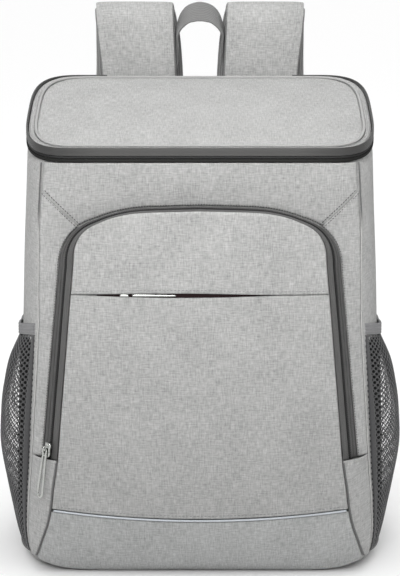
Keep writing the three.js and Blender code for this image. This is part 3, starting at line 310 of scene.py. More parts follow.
def ring_sweep(path, upward, section):
    """A section carried round a closed path, whose last row is its first again."""
    looped = np.concatenate([path[-1:], path, path[:1]])
    across, up = directions(looped, upward)
    rows = sweep(path, across[1:-1], up[1:-1], section)
    return np.concatenate([rows, rows[:1]])


def bar(path, upward, section):
    """A section carried along an open path and closed at its ends."""
    return closed_ends(sweep(path, *directions(path, upward), section))


def tube(name, path, radius, upward, sides=12):
    """A round cord along a path."""
    return surface(name, bar(path, upward, round_section(radius, sides)), wrap=True)


def resample(path, count):
    """The same line with its points at equal distances."""
    way = way_along(path)
    return read_off(path, way, np.linspace(0, way[-1], count))


def spline(points, count):
    """Centripetal Catmull-Rom curve through points, evaluated at count equal steps of the rows."""
    points = np.asarray(points, float)
    padded = np.concatenate([[2 * points[0] - points[1]], points, [2 * points[-1] - points[-2]]])
    at = np.linspace(0, len(points) - 1, count)
    i = np.minimum(at.astype(int), len(points) - 2)
    t = (at - i)[:, None]
    p0, p1, p2, p3 = (padded[i + k] for k in range(4))
    pairs = ((p0, p1), (p1, p2), (p2, p3))
    d0, d1, d2 = (np.maximum(np.linalg.norm(b - a, axis=1, keepdims=True) ** 0.5, 1e-4) for a, b in pairs)
    m1 = ((p1 - p0) / d0 - (p2 - p0) / (d0 + d1) + (p2 - p1) / d1) * d1
    m2 = ((p2 - p1) / d1 - (p3 - p1) / (d1 + d2) + (p3 - p2) / d2) * d1
    near, far = p1 * (1 + 2 * t) * (1 - t) ** 2, p2 * t * t * (3 - 2 * t)
    return near + far + m1 * t * (1 - t) ** 2 - m2 * t * t * (1 - t)


# %% [markdown]
# ## Effects that several materials share
# A thread's height, a melange's flecks and a row of ribs are used by many finishes. Each is a shader
# node group with named inputs, built once. A material then places it with its own numbers.
# %% Node group helpers
def new_group(name, inputs, outputs):
    """An empty group with float or vector inputs and their defaults, and the outputs it names."""
    group = bpy.data.node_groups.new(name, "ShaderNodeTree")
    for label, kind, value in inputs:
        socket = group.interface.new_socket(label, in_out="INPUT", socket_type=kind)
        if value is not None:
            socket.default_value = value
    for label, kind in outputs:
        group.interface.new_socket(label, in_out="OUTPUT", socket_type=kind)
    return group, group.nodes.new("NodeGroupInput"), group.nodes.new("NodeGroupOutput")


def math_node(tree, operation, a, b=None, c=None, clamp=False):
    """One Math node; a, b and c are numbers or sockets. Returns its output socket."""
    node = tree.nodes.new("ShaderNodeMath")
    node.operation, node.use_clamp = operation, clamp
    for socket, value in zip(node.inputs, (a, b, c)):
        if value is None:
            continue
        if isinstance(value, (int, float)):
            socket.default_value = value
        else:
            tree.links.new(value, socket)
    return node.outputs[0]


def components(tree, vector):
    """The x, y and z sockets of a vector socket."""
    node = tree.nodes.new("ShaderNodeSeparateXYZ")
    tree.links.new(vector, node.inputs[0])
    return node.outputs


def scaled(tree, vector, factors):
    """A vector socket multiplied by three numbers."""
    node = tree.nodes.new("ShaderNodeVectorMath")
    node.operation = "MULTIPLY"
    tree.links.new(vector, node.inputs[0])
    node.inputs[1].default_value = factors
    return node.outputs[0]


def noise_node(tree, vector, factors, detail=3.0, rough=0.55):
    """A noise texture on a vector socket times three numbers. Returns its value, about 0.2 to 0.8."""
    place = scaled(tree, vector, factors)
    node = tree.nodes.new("ShaderNodeTexNoise")
    node.inputs["Scale"].default_value = 1.0
    node.inputs["Detail"].default_value = detail
    node.inputs["Roughness"].default_value = rough
    tree.links.new(place, node.inputs["Vector"])
    return node.outputs[0]


# %% Weave, flecks and ribs
def weave_group():
    """Plain weave: where a thread lies on top its height is a sine across it, and the rest is lower."""
    group, entry, exit_node = new_group(
        "woven threads",
        [("Cloth", "NodeSocketVector", None), ("Threads per metre", "NodeSocketFloat", 1500.0)],
        [("Height", "NodeSocketFloat")],
    )
    place = components(group, entry.outputs["Cloth"])
    waves = []
    for axis in (0, 1):
        count = math_node(group, "MULTIPLY", place[axis], entry.outputs["Threads per metre"])
        wave = math_node(group, "SINE", math_node(group, "MULTIPLY", count, math.pi))
        waves.append((math_node(group, "ABSOLUTE", wave), math_node(group, "FLOOR", count)))
    parity = math_node(group, "FLOORED_MODULO", math_node(group, "ADD", waves[0][1], waves[1][1]), 2.0)
    over = math_node(group, "MULTIPLY", waves[0][0], parity)
    under = math_node(group, "MULTIPLY", waves[1][0], math_node(group, "SUBTRACT", 1.0, parity))
    group.links.new(math_node(group, "ADD", over, under), exit_node.inputs[0])
    return group


def fleck_group():
    """Melange: light and dark fibres as noise stretched along the warp, plus noise along the weft."""
    group, entry, exit_node = new_group(
        "melange flecks",
        [("Cloth", "NodeSocketVector", None), ("Strength", "NodeSocketFloat", 0.2)],
        [("Shade", "NodeSocketFloat")],
    )
    weft = noise_node(group, entry.outputs["Cloth"], (150, 900, 1), 2.0, 0.6)
    warp = noise_node(group, entry.outputs["Cloth"], (900, 130, 1), 2.0, 0.6)
    cloud = noise_node(group, entry.outputs["Cloth"], (26, 26, 1), 3.0, 0.5)
    both = math_node(group, "ADD", weft, warp)
    both = math_node(group, "ADD", both, math_node(group, "MULTIPLY", cloud, 0.35))
    centred = math_node(group, "SUBTRACT", both, 1.175)
    shade = math_node(group, "MULTIPLY_ADD", centred, entry.outputs["Strength"], 1.0)
    group.links.new(shade, exit_node.inputs[0])
    return group


def streak_group():
    """Lengthwise streaks: noise drawn out along the cloth's second direction, centred on 1."""
    group, entry, exit_node = new_group(
        "lengthwise streaks",
        [("Cloth", "NodeSocketVector", None), ("Strength", "NodeSocketFloat", 1.0)],
        [("Shade", "NodeSocketFloat")],
    )
    fine = noise_node(group, entry.outputs["Cloth"], (1100, 38, 1), 3.0, 0.7)
    centred = math_node(group, "SUBTRACT", fine, 0.5)
    shade = math_node(group, "MULTIPLY_ADD", centred, entry.outputs["Strength"], 1.0)
    group.links.new(shade, exit_node.inputs[0])
    return group


def rib_group():
    """Ribs along one direction of the cloth: the height is the absolute sine of the distance across."""
    group, entry, exit_node = new_group(
        "ribs",
        [("Distance", "NodeSocketFloat", 0.0), ("Ribs per metre", "NodeSocketFloat", 500.0)],
        [("Height", "NodeSocketFloat")],
    )
    count = math_node(group, "MULTIPLY", entry.outputs[0], entry.outputs[1])
    turn = math_node(group, "MULTIPLY", count, math.pi)
    group.links.new(math_node(group, "ABSOLUTE", math_node(group, "SINE", turn)), exit_node.inputs[0])
    return group


weave, flecks, ribs, streaks = weave_group(), fleck_group(), rib_group(), streak_group()
print("shared effects:", weave.name, flecks.name, ribs.name, streaks.name)

# %% [markdown]
# ## The materials
# Each finish starts from the Principled shader. Colour comes from the cloth's flecks, with painted shade
# where threads and ribs lie low; roughness comes from the fibre, and the bump from its threads. The numbers
# are those of
# the real cloth: a 0.6 mm thread, a 1 mm rib on webbing, a polished nickel plate on the zip's hardware.
# %% Material helpers
def new_material(name, roughness, metallic=0.0, sheen=0.0):
    """A material with its Principled shader and a UV Map node that reads the cloth's own map."""
    material = bpy.data.materials.new(name)
    material.use_nodes = True
    tree = material.node_tree
    shader = tree.nodes["Principled BSDF"]
    shader.inputs["Roughness"].default_value = roughness
    shader.inputs["Metallic"].default_value = metallic
    shader.inputs["Sheen Weight"].default_value = sheen
    shader.inputs["Sheen Roughness"].default_value = 0.5
    uv = tree.nodes.new("ShaderNodeUVMap")
    uv.uv_map = "cloth"
    return material, tree, shader, uv.outputs[0]


def place_group(tree, group, **values):
    """Puts a group in a material; a value is a number or a socket, named with _ for a space."""
    node = tree.nodes.new("ShaderNodeGroup")
    node.node_tree = group
    for label, value in values.items():
        socket = node.inputs[label.replace("_", " ")]
        if isinstance(value, (int, float)):
            socket.default_value = value
        else:
            tree.links.new(value, socket)
    return node.outputs[0]


def paint(tree, shader, colour, shade, deep=None):
    """Feeds the shader a colour, as three numbers or a socket, multiplied by one or two shade sockets."""
    if deep is not None:
        shade = math_node(tree, "MULTIPLY", shade, deep)
    node = tree.nodes.new("ShaderNodeVectorMath")
    node.operation = "SCALE"
    if isinstance(colour, tuple):
        node.inputs[0].default_value = colour
    else:
        tree.links.new(colour, node.inputs[0])
    tree.links.new(shade, node.inputs["Scale"])
    tree.links.new(node.outputs[0], shader.inputs["Base Color"])


def bump(tree, shader, height, distance):
    """Feeds a height in 0..1, distance metres deep, to the shader's normal."""
    node = tree.nodes.new("ShaderNodeBump")
    node.inputs["Strength"].default_value = 1.0
    node.inputs["Distance"].default_value = distance
    tree.links.new(height, node.inputs["Height"])
    tree.links.new(node.outputs[0], shader.inputs["Normal"])


# %% Cloth materials
# Where the painted shade on the lid's tape begins, and how far it runs to the corner, in metres of x.
PAINTED_SHADE_START, PAINTED_SHADE_RUN = 0.085, 0.06


def heather(name, colour, strength=1.0, threads=1600.0):
    """Grey melange plain weave, a little darker where its threads lie low as painted shade."""
    material, tree, shader, cloth = new_material(name, 0.88, sheen=0.25)
    shade = place_group(tree, flecks, Cloth=cloth, Strength=strength)
    height = place_group(tree, weave, Cloth=cloth, Threads_per_metre=threads)
    # Painted shade: the colour is a little darker where the threads lie low.
    deep = math_node(tree, "MULTIPLY_ADD", height, 0.16, 0.9)
    paint(tree, shader, colour, shade, deep)
    uneven = noise_node(tree, cloth, (420, 420, 1), 2.0)
    bump(tree, shader, math_node(tree, "MULTIPLY_ADD", uneven, 0.8, height), 0.00035)
    return material


def ribbed(
    name, colour, ribs_across, ribs_along, depth=0.0003, roughness=0.75, strength=0.25,
    darkest=0.6, painted_corner_shade=0.0, dull=False,
):
    """Ribbed narrow cloth: ribs across and along it, darker between the ribs as painted shade. Dull cloth has
    no gloss.

    Tape round the lid's corners is darkened by a given share as painted shade: the colour is multiplied by
    one less that share times how far x is on its way from the ramp's start to the corner.
    """
    material, tree, shader, cloth = new_material(name, roughness, sheen=0.0 if dull else 0.15)
    shader.inputs["Specular IOR Level"].default_value = 0.1 if dull else 0.5
    place = components(tree, cloth)
    first = place_group(tree, ribs, Distance=place[0], Ribs_per_metre=ribs_across)
    second = place_group(tree, ribs, Distance=place[1], Ribs_per_metre=ribs_along)
    height = math_node(tree, "MULTIPLY", math_node(tree, "MULTIPLY_ADD", second, 0.5, 0.5), first)
    shade = place_group(tree, flecks, Cloth=cloth, Strength=strength)
    # Painted shade: the colour is darker between the ribs, down to the share darkest.
    deep = math_node(tree, "MULTIPLY_ADD", height, 1 - darkest, darkest)
    # Painted shade: the colour is darkened towards the lid's corners.
    if painted_corner_shade:
        x = components(tree, tree.nodes.new("ShaderNodeTexCoord").outputs["Object"])[0]
        aside = math_node(tree, "SUBTRACT", math_node(tree, "ABSOLUTE", x), PAINTED_SHADE_START)
        over = math_node(tree, "MULTIPLY", aside, 1 / PAINTED_SHADE_RUN, clamp=True)
        deep = math_node(tree, "MULTIPLY", deep, math_node(tree, "MULTIPLY_ADD", over, -painted_corner_shade, 1.0))
    paint(tree, shader, colour, shade, deep)
    bump(tree, shader, height, depth)
    return material


def streaked(name, colour, strength):
    """Zip tape: ribs across it with painted shade between them, and darker and lighter streaks along it."""
    material, tree, shader, cloth = new_material(name, 0.6, sheen=0.1)
    height = place_group(tree, ribs, Distance=components(tree, cloth)[1], Ribs_per_metre=1500)
    shade = place_group(tree, streaks, Cloth=cloth, Strength=strength)
    # Painted shade: the colour is darker between the ribs.
    deep = math_node(tree, "MULTIPLY_ADD", height, 0.35, 0.75)
    paint(tree, shader, colour, shade, deep)
    bump(tree, shader, math_node(tree, "MULTIPLY_ADD", shade, 0.6, height), 0.00025)
    return material


def piping_with_painted_shade(name, low_colour, painted_shade_colour, level):
    """Piping whose colour changes at a height: painted dark above it as the shade of the seam's valley, and
    the cloth's grey below.
    """
    material, tree, shader, cloth = new_material(name, 0.8)
    z = components(tree, tree.nodes.new("ShaderNodeTexCoord").outputs["Object"])[2]
    above = math_node(tree, "MULTIPLY", math_node(tree, "SUBTRACT", z, level), 60.0, clamp=True)
    mixer = tree.nodes.new("ShaderNodeMix")
    mixer.data_type = "RGBA"
    mixer.inputs["A"].default_value, mixer.inputs["B"].default_value = low_colour, painted_shade_colour
    tree.links.new(above, mixer.inputs["Factor"])
    shade = place_group(tree, flecks, Cloth=cloth, Strength=0.6)
    paint(tree, shader, mixer.outputs["Result"], shade)
    return material


GREY = (0.42, 0.42, 0.413)
heather_cloth = heather("heather cloth", GREY)
# The base's cut has its own copy of the heather, its colour set for how light falls on the base: painted
# light and shade.
base_painted_tone_cloth = heather("heather cloth with painted tone for the base", (0.43, 0.436, 0.432))
# The lid's zip tapes are darkened towards the lid's corners as painted shade.
tape_cloth = ribbed("zip tape cloth", (0.066, 0.065, 0.063), 900, 1400, 0.0002, painted_corner_shade=0.75)
# The lower tape's colour is the tape's own dark grey, darkened further as painted shade.
lower_tape_shade_cloth = ribbed(
    "lower zip tape cloth with painted shade", (0.022, 0.022, 0.021), 900, 1400, 0.0002, painted_corner_shade=0.4, dull=True,
)
pocket_tape = streaked("pocket zip inner tape", (0.064, 0.063, 0.061), 2.6)
pocket_outer_tape = streaked("pocket zip outer tape", (0.041, 0.04, 0.039), 4.5)
webbing_cloth = ribbed("webbing cloth", (0.165, 0.165, 0.163), 420, 900, 0.0003)
elastic_cloth = ribbed("elastic cloth", (0.25, 0.25, 0.255), 700, 330, 0.0006, darkest=0.4)
piping_cloth = ribbed("seam piping cloth", (0.13, 0.13, 0.13), 1200, 700, 0.0002)
# The corner cord's dark upper part is painted shade of the seam's valley near the lid.
corner_piping = piping_with_painted_shade("corner seam piping with painted shade", (0.4, 0.4, 0.39, 1), (0.1, 0.1, 0.1, 1), 0.305)
grey_piping = ribbed("grey piping cloth", (0.4, 0.4, 0.395), 1200, 700, 0.0002)
mesh_cord = ribbed("pocket mesh cord", (0.046, 0.046, 0.048), 2600, 2600, 0.0001, 0.55, darkest=0.7)
spacer_mesh = ribbed("padded spacer mesh", (0.24, 0.24, 0.238), 420, 420, 0.0006, 0.8, darkest=0.5)
# A near-black sheet behind the mesh pockets, which paints the shade inside them.
painted_shade_sheet = ribbed("painted shade behind the net", (0.012, 0.012, 0.012), 700, 700, 0.0002, 0.8, dull=True)
thread = ribbed("sewing thread", (0.3, 0.3, 0.3), 2500, 1200, 0.0001, 0.6)
dark_thread = ribbed("dark sewing thread", (0.09, 0.09, 0.09), 2500, 1200, 0.0001, 0.6)
slit_tape = ribbed("slit zip tape cloth", (0.022, 0.012, 0.013), 900, 1400, 0.0002, dull=True)
reflective = ribbed("reflective cord", (0.45, 0.48, 0.51), 900, 500, 0.0001, 0.35, 0.1, 0.85)
print("cloth materials made")


# %% Padded mesh of the back
def honeycomb(name, colour, cell):
    """Spacer mesh: a cell pattern in the object's own x and z, deep at each cell's middle, and darker there
    as painted shade.
    """
    material, tree, shader, _ = new_material(name, 0.85, sheen=0.2)
    place = tree.nodes.new("ShaderNodeTexCoord").outputs["Object"]
    cells = tree.nodes.new("ShaderNodeTexVoronoi")
    cells.inputs["Scale"].default_value = 1 / cell
    cells.inputs["Randomness"].default_value = 0.25
    tree.links.new(scaled(tree, place, (1, 0.15, 1)), cells.inputs["Vector"])
    # Painted shade: the colour is darker in each cell's hollow.
    depth = math_node(tree, "MULTIPLY_ADD", cells.outputs["Distance"], 1.1, 0.25, clamp=True)
    shade = place_group(tree, flecks, Cloth=place, Strength=0.4)
    paint(tree, shader, colour, shade, depth)
    bump(tree, shader, depth, 0.0008)
    return material


padded_back = honeycomb("padded back mesh", (0.17, 0.17, 0.17), 0.0032)


# %% Hard materials
def nickel():
    """Polished nickel plate: a mirror with fine scratches that roughen it here and there."""
    material, tree, shader, cloth = new_material("polished nickel", 0.14, metallic=1.0)
    shader.inputs["Base Color"].default_value = (0.46, 0.47, 0.45, 1)
    scratches = noise_node(tree, cloth, (90, 1800, 1), 3.0)
    rough = math_node(tree, "MULTIPLY_ADD", scratches, 0.16, 0.06)
    tree.links.new(rough, shader.inputs["Roughness"])
    bump(tree, shader, scratches, 0.00002)
    return material


def moulded(name, colour, roughness):
    """Moulded plastic with a faint grain."""
    material, tree, shader, cloth = new_material(name, roughness)
    grain = noise_node(tree, cloth, (1400, 1400, 1), 2.0)
    shade = math_node(tree, "MULTIPLY_ADD", grain, 0.3, 0.85)
    paint(tree, shader, colour, shade)
    tree.links.new(math_node(tree, "MULTIPLY_ADD", grain, 0.25, roughness - 0.12), shader.inputs["Roughness"])
    bump(tree, shader, grain, 0.00004)
    return material


metal = nickel()
coil_nylon = moulded("nylon coil", (0.014, 0.014, 0.014), 0.5)
coil_nylon.node_tree.nodes["Principled BSDF"].inputs["Specular IOR Level"].default_value = 0.2
buckle_black = moulded("moulded buckle", (0.03, 0.03, 0.03), 0.45)
print("hard materials made")

# %% [markdown]
# ## The tub
# The body is a box of foam between two cloths, so its walls are flat but soft, and its corners are
# wide curves. Its plan is a rectangle with superellipse ends, and each height scales that plan.
# %% Plan of the bag
def plan_shares(side_steps=44, flat_steps=24):
    """Closed outline as shares of flat half width, corner reach and depth, from the back's middle."""
    turn = np.linspace(math.pi, 0, side_steps)
    power = 2 / SQUARENESS
    corner = np.abs(np.sin(turn)) ** power
    side_depth = -signed_power(np.cos(turn), power)
    part = np.linspace(0, 1, flat_steps)
    one = np.ones(flat_steps)
    full = np.ones(side_steps)
    flat = np.concatenate([part[:-1], full, 1 - 2 * part[1:-1], -full, part[1:-1] - 1])
    bend = np.concatenate([0 * part[:-1], corner, 0 * part[1:-1], -corner[::-1], 0 * part[1:-1]])
    deep = np.concatenate([one[:-1], side_depth, -one[1:-1], side_depth[::-1], one[1:-1]])
    return flat, bend, deep


def plan(half, depth, **steps):
    """The outline's x and y: flat share times half width less the corner, plus the corner; and the depth."""
    flat, bend, deep = plan_shares(**steps)
    half, depth = (v[:, None] if np.ndim(v) == 1 else v for v in (half, depth))
    return flat * (half - CORNER_REACH) + bend * CORNER_REACH, deep * (depth + 0 * half)


# %% Tub piece
def tub_surface():
    """Rings of the plan from the middle of the base out, up the walls, and over the rim."""
    shares = np.concatenate([np.linspace(0, 1, 18)[:-1] ** 1.5 * 0.11, np.linspace(0.11, 1, 60)])
    inset = base_inset(shares) + np.where(shares > 0.955, 1.6 * np.clip((shares - 0.955) / 0.013, 0, 1), 0)
    x, y = plan(tub_half(shares) - inset, HALF_DEPTH - inset)
    z = shares[:, None] * rim_height(y)
    soft = wander(x + y, z, 130, 3) * 0.5 * np.clip(shares, 0.05, 0.6)[:, None] * (np.abs(y) < 88)
    walls = np.stack([x + np.sign(x) * soft * (np.abs(x) > 110), y, z], -1)
    scale = np.array([0, 0.35, 0.7, 0.97])[:, None, None]
    base = walls[:1] * np.concatenate([scale, scale, scale * 0], -1)
    rim = walls[-1:] * np.array([0.962, 0.935, 1])
    deep = rim - np.array([0, 0, 60])
    points = np.concatenate([base, walls, rim, deep, deep * np.array([0.02, 0.02, 1])])
    around = walked(np.concatenate([points, points[:, :1]], 1), 1)[30]
    height = np.repeat(walked(points, 0)[:, :1], points.shape[1] + 1, 1)
    return points, np.stack([np.broadcast_to(around, height.shape), height], -1)


tub_points, tub_uv = tub_surface()
tub = surface("tub_shell", tub_points, wrap=True, uv=tub_uv)
finish_piece(tub, heather_cloth, ["insulated_tub"])

# %% [markdown]
# ## The lid
# The lid is a thin padded panel. Its edge rolls over, a welt lies in a groove 9 mm in, and the middle
# is crowned by the foam. One profile, carried round the plan, gives all of that.
# %% Lid
def lid_profile():
    """Inset, raise and groove, from the underside's middle round the edge to the top's middle."""
    under = np.array([[92.9, -8], [60, -8], [25, -8], [1.2, -8]])
    turn = np.linspace(-math.pi / 2, math.pi / 2, 13)
    up = np.where(np.sin(turn) < 0, 3.7, 4.3) * np.sin(turn)
    edge = np.stack([4.2 - 4.2 * np.cos(turn), -4.3 + up], -1)
    inset = np.concatenate([np.linspace(5, 15, 34), np.linspace(16, 92.9, 40)])
    inward = np.clip((inset - 10) / 60, 0, 1)
    crown = 5.4 * inward**0.75 * (1 - 0.25 * inward**3) * 1.3
    groove = -2.2 * np.exp(-(((inset - 9) / 1.7) ** 2)) + 0.5 * np.exp(-(((inset - 5.8) / 1.6) ** 2))
    rows = np.concatenate([under, edge, np.stack([inset, crown], -1)])
    return rows[:, 0], rows[:, 1], np.concatenate([np.zeros(len(under) + len(edge)), groove])


FRONTNESS = np.clip(-plan_shares()[2], 0, 1) ** 2


def lid_ring(inset, rise):
    """Places on the lid: the plan drawn in by inset, less near the front, and raised from the slope."""
    inset = np.atleast_1d(inset)[:, None]
    rise = rise if np.ndim(rise) == 2 else np.atleast_1d(rise)[:, None]
    nearer = (2.2 + 3.4 * FRONTNESS) * np.exp(-(((inset - 10) / 7) ** 2)) * (inset > 4.5)
    x, y = plan(TOP_HALF - 0.8 - inset + nearer, HALF_DEPTH - inset + nearer)
    return x, y, lid_plane(y) + rise


inset, lift, groove = lid_profile()
x, y, z = lid_ring(inset, lift[:, None] + groove[:, None] * (1 - 0.6 * FRONTNESS))
top_part = ((inset > 14) & (lift > 0))[:, None]
z = z + np.where(top_part, wander(x, y, 150, 8) * 0.55 * np.clip((inset - 14) / 25, 0, 1)[:, None], 0)
lid_uv = np.stack([x, y * 1.02 + np.where(lift < -1, 20 + lift, 0)[:, None]], -1)
lid = surface("lid_cushion", np.stack([x, y, z], -1), wrap=True, uv=lid_uv)
finish_piece(lid, heather_cloth, ["lid_pad"])

# %% Lid's welt
x, y, z = lid_ring(9.0, 0.35)
welt_path = np.stack([x[0], y[0], z[0]], -1)
welt = surface("lid_seam_welt", ring_sweep(welt_path, (0, 0, 1), round_section(1.2)), wrap=True)
finish_piece(welt, grey_piping, ["lid_welt"])

# %% [markdown]
# ## The lid's zip
# A zip is two ribbed tapes with a nylon coil between them. It runs round three sides under the lid.
# Each part is a small upright profile carried along the lid's edge, and the coil's height ripples
# along the way, once for each turn of the nylon.
# %% Lid zip
HINGE_HALF = 85.0


def lid_edge_path(count=900):
    """The lid's edge from one end of the hinge, round the front, to the other end."""
    x, y = plan(TOP_HALF - 0.8 + SEAM_GAP, HALF_DEPTH + SEAM_GAP, side_steps=120, flat_steps=60)
    on_back = (y > 90) & (np.abs(x) < HINGE_HALF)
    start = np.where(~on_back)[0][0]
    stop = np.where(~on_back)[0][-1]
    line = np.stack([x[start : stop + 1], y[start : stop + 1], 0 * x[start : stop + 1]], -1)
    line[0, 0], line[-1, 0] = HINGE_HALF, -HINGE_HALF
    line = resample(line, count)
    line[:, 2] = lid_plane(line[:, 1])
    return line


edge_path = lid_edge_path()
edge_run = unit(np.gradient(edge_path[:, :2], axis=0))
edge_out = np.stack([-edge_run[:, 1], edge_run[:, 0], 0 * edge_run[:, 0]], -1)
edge_out *= np.sign((edge_out * edge_path * [1, 1, 0]).sum())
edge_down = np.broadcast_to([0.0, 0.0, -1.0], edge_out.shape)


def edge_strip(name, drop, height, proud, ripple=0.0, pitch=1.5, sides=16):
    """A soft rectangle carried along the lid's edge, drop below its plane; ripple swells it once a pitch."""
    way = np.arange(len(edge_path)) / (len(edge_path) - 1) * way_along(edge_path)[-1]
    swell = 1 + ripple * (np.abs(np.sin(way / pitch * math.pi)) - 0.5)
    section = soft_section(proud / 2, height / 2, 5.0, sides)
    sizes = np.stack([swell, np.ones_like(swell)], -1)[:, None]
    sections = section[None] * sizes + [proud / 2, drop + height / 2]
    rows = sweep(edge_path, edge_out, edge_down, sections)[:: 1 if ripple else 2]
    return surface(name, closed_ends(rows), wrap=True)


upper_tape = edge_strip("lid_zip_upper_tape", -0.1, 7.1, 1.8)
finish_piece(upper_tape, tape_cloth, ["lid_zip_tape_upper"])
lid_coil = edge_strip("lid_zip_nylon", 7.3, 1.9, 1.1, ripple=0.7)
finish_piece(lid_coil, coil_nylon, ["lid_zip_coil"])
# The lower tape reaches down over the gap to the front cloth, so that its dark colour paints the shadow under
# the lid's zip.
lower_tape = edge_strip("lid_zip_lower_tape", 9.5, 2.9, 1.7)
finish_piece(lower_tape, lower_tape_shade_cloth, ["lid_zip_tape_lower"])

# %% [markdown]
# ## Front of the bag
# The front is sewn from flat cuts: a top panel, a strip down each side, and a gusset below. Each is
# ruled between the two seams that bound it. Where cloth meets a seam it is pulled in a little, and
# that soft valley is what makes a seam read as sewn.
# %% Seams of the front
RIM_FRONT = rim_height(-HALF_DEPTH)
SKIN_TOP = 364.0
PIPING = 1.1
SHORT_OF_SEAM = 1.2
SEAM_FOOT = 11.0
FRONT_THICK = 1.4
DIAGONAL_HEIGHT, DIAGONAL_ON_ARCH = 338.5, 0.345


SEAM_HEIGHT = [0, 57, 92, 136, 180, 217, 250, 300, 330, 370]
SEAM_SHIFT = [0.9, 0.9, 2.2, 3.0, 3.8, 3.9, 2.4, 0.4, 0, 0]


def corner_seam(z, proud=0.0):
    """The seam between front and side at a height, on the plan's corner, moved out along its normal."""
    z = np.asarray(z, float)
    share = z / RIM_FRONT
    inset = base_inset(share)
    half, depth = tub_half(share) - inset, HALF_DEPTH - inset
    x = half - mix(9.0, 16.5, share) - smooth_table(SEAM_HEIGHT, SEAM_SHIFT, z)
    y = -outline_depth(x, half, depth)
    nx = (np.clip(x - half + CORNER_REACH, 0, None) / CORNER_REACH) ** (SQUARENESS - 1) / CORNER_REACH
    ny = -((-y / depth) ** (SQUARENESS - 1)) / depth
    out = unit(np.stack([nx, ny, 0 * nx], -1))
    return np.stack([x, y - SEAM_GAP, z], -1) + out * proud


def arch(s, top, flat, width, drop, roundness, end_half, end_height):
    """Half an arch from its middle, 0, to its foot, 1: flat, a superellipse shoulder, a straight side."""
    s = np.asarray(s, float)
    angle = np.clip((s - 0.16) / 0.34, 0, 1) * math.pi / 2
    down = np.clip((s - 0.5) / 0.5, 0, 1)
    x = flat * np.clip(s / 0.16, 0, 1) + width * np.sin(angle) ** (2 / roundness)
    z = top - drop * (1 - np.cos(angle) ** (2 / roundness))
    side = s > 0.5
    return np.where(side, mix(x, end_half, down), x), np.where(side, mix(z, end_height, down), z)


ARCH_TOP, ARCH_DROP, ARCH_FLAT, ARCH_WIDTH, ARCH_POWER = 327.0, 44.0, 45.0, 62.6, 2.43
ZIP_FOOT, TAPE_FOOT = 110.0, 107.0
SETTLED_AT, SETTLED_BY = [0, 40, 85, 106, 125], [0.6, 1.8, 3.7, 1.9, 0]


def settled(x, z):
    """Height after the arch has settled: less the most at 85 mm from the middle, and nothing below 285 mm."""
    fall = smooth_table(SETTLED_AT, SETTLED_BY, np.abs(x))
    return z - fall * np.clip((z - 285) / 35, 0, 1) ** 1.5


def panel_arch(s):
    """Edge of the pocket's front panel, before it settles."""
    return arch(s, ARCH_TOP, ARCH_FLAT, ARCH_WIDTH, ARCH_DROP, ARCH_POWER, 122.5, ZIP_FOOT)


def tape_arch(s):
    """Outer edge of the pocket zip's tape."""
    x, z = arch(s, ARCH_TOP + SEAM_GAP, ARCH_FLAT, 76, 55, 2.2, 136.8, TAPE_FOOT)
    return x, settled(x, z)


# %% Pocket's front panel as a function
ROW_HEIGHT = [13.5, 20, 32.5, 47.8, 63.4, 82.6, 110, 140, 200, 255, 283, 327]
ROW_HALF = [144, 141.5, 137.4, 132.4, 129, 126.6, 122.5, 119.9, 114.7, 110, 107.6, 45]
ROW_REACH = [3, 7.5, 14.5, 21, 26, 30, 33, 34, 32.5, 30, 28.5, 27]
ROW_CROWN = [-2, 3, 4, 4, 4, 4.5, 5.5, 6.5, 6.5, 5, 4, 1]
ROW_DROP = [12.7, 12.2, 11.4, 9.8, 8.3, 5, 2, 0, 0, 0, 0, 0]
ROW_FLATNESS = [9, 7, 5, 3, 2, 2, 2, 2, 2, 2, 2, 2]


def panel_half(height):
    """Half width of the panel's row: the table's below the shoulder, a superellipse above it."""
    rise = np.clip((height - ARCH_TOP) / ARCH_DROP + 1, 0, 1)
    shoulder = ARCH_FLAT + ARCH_WIDTH * (1 - rise**ARCH_POWER) ** (1 / ARCH_POWER)
    return np.where(rise > 0, shoulder, smooth_table(ROW_HEIGHT[:-1], ROW_HALF[:-1], height))


def panel_point(height, u):
    """Place on the panel: u from -1 to 1 across, forward by reach plus crown times one less u squared."""
    height, u = np.broadcast_arrays(np.asarray(height, float), np.asarray(u, float))
    tables = (ROW_REACH, ROW_CROWN, ROW_DROP, ROW_FLATNESS)
    reach, crown, drop, flatness = (smooth_table(ROW_HEIGHT, table, height) for table in tables)
    z = height - drop * (1 - np.abs(u) ** flatness)
    x = panel_half(height) * u
    return np.stack([x, -HALF_DEPTH - reach - crown * (1 - u * u), settled(x, z)], -1)


def tape_edge(s):
    """The tape's outer edge in space, just proud of the front cloth."""
    x, z = tape_arch(s)
    reach = mix(10, 2.6, (z - TAPE_FOOT) / (ARCH_TOP + SEAM_GAP - TAPE_FOOT))
    return np.stack([x, np.minimum(-HALF_DEPTH - SEAM_GAP - reach, skin_y(x, z) - FABRIC), z], -1)


def panel_edge(s):
    """The front panel's edge in space."""
    x, z = panel_arch(s)
    return np.stack([x, -HALF_DEPTH - smooth_table(ROW_HEIGHT, ROW_REACH, z), settled(x, z)], -1)


def panel_side(z):
    """The front panel's edge below the arch, at a height."""
    half, reach = smooth_table(ROW_HEIGHT, ROW_HALF, z), smooth_table(ROW_HEIGHT, ROW_REACH, z)
    return np.stack([half, -HALF_DEPTH - reach, z], -1)


seam_x, seam_z = tape_arch(DIAGONAL_ON_ARCH)
print("diagonal seams meet the zip at", round(float(seam_x), 1), round(float(seam_z), 1))

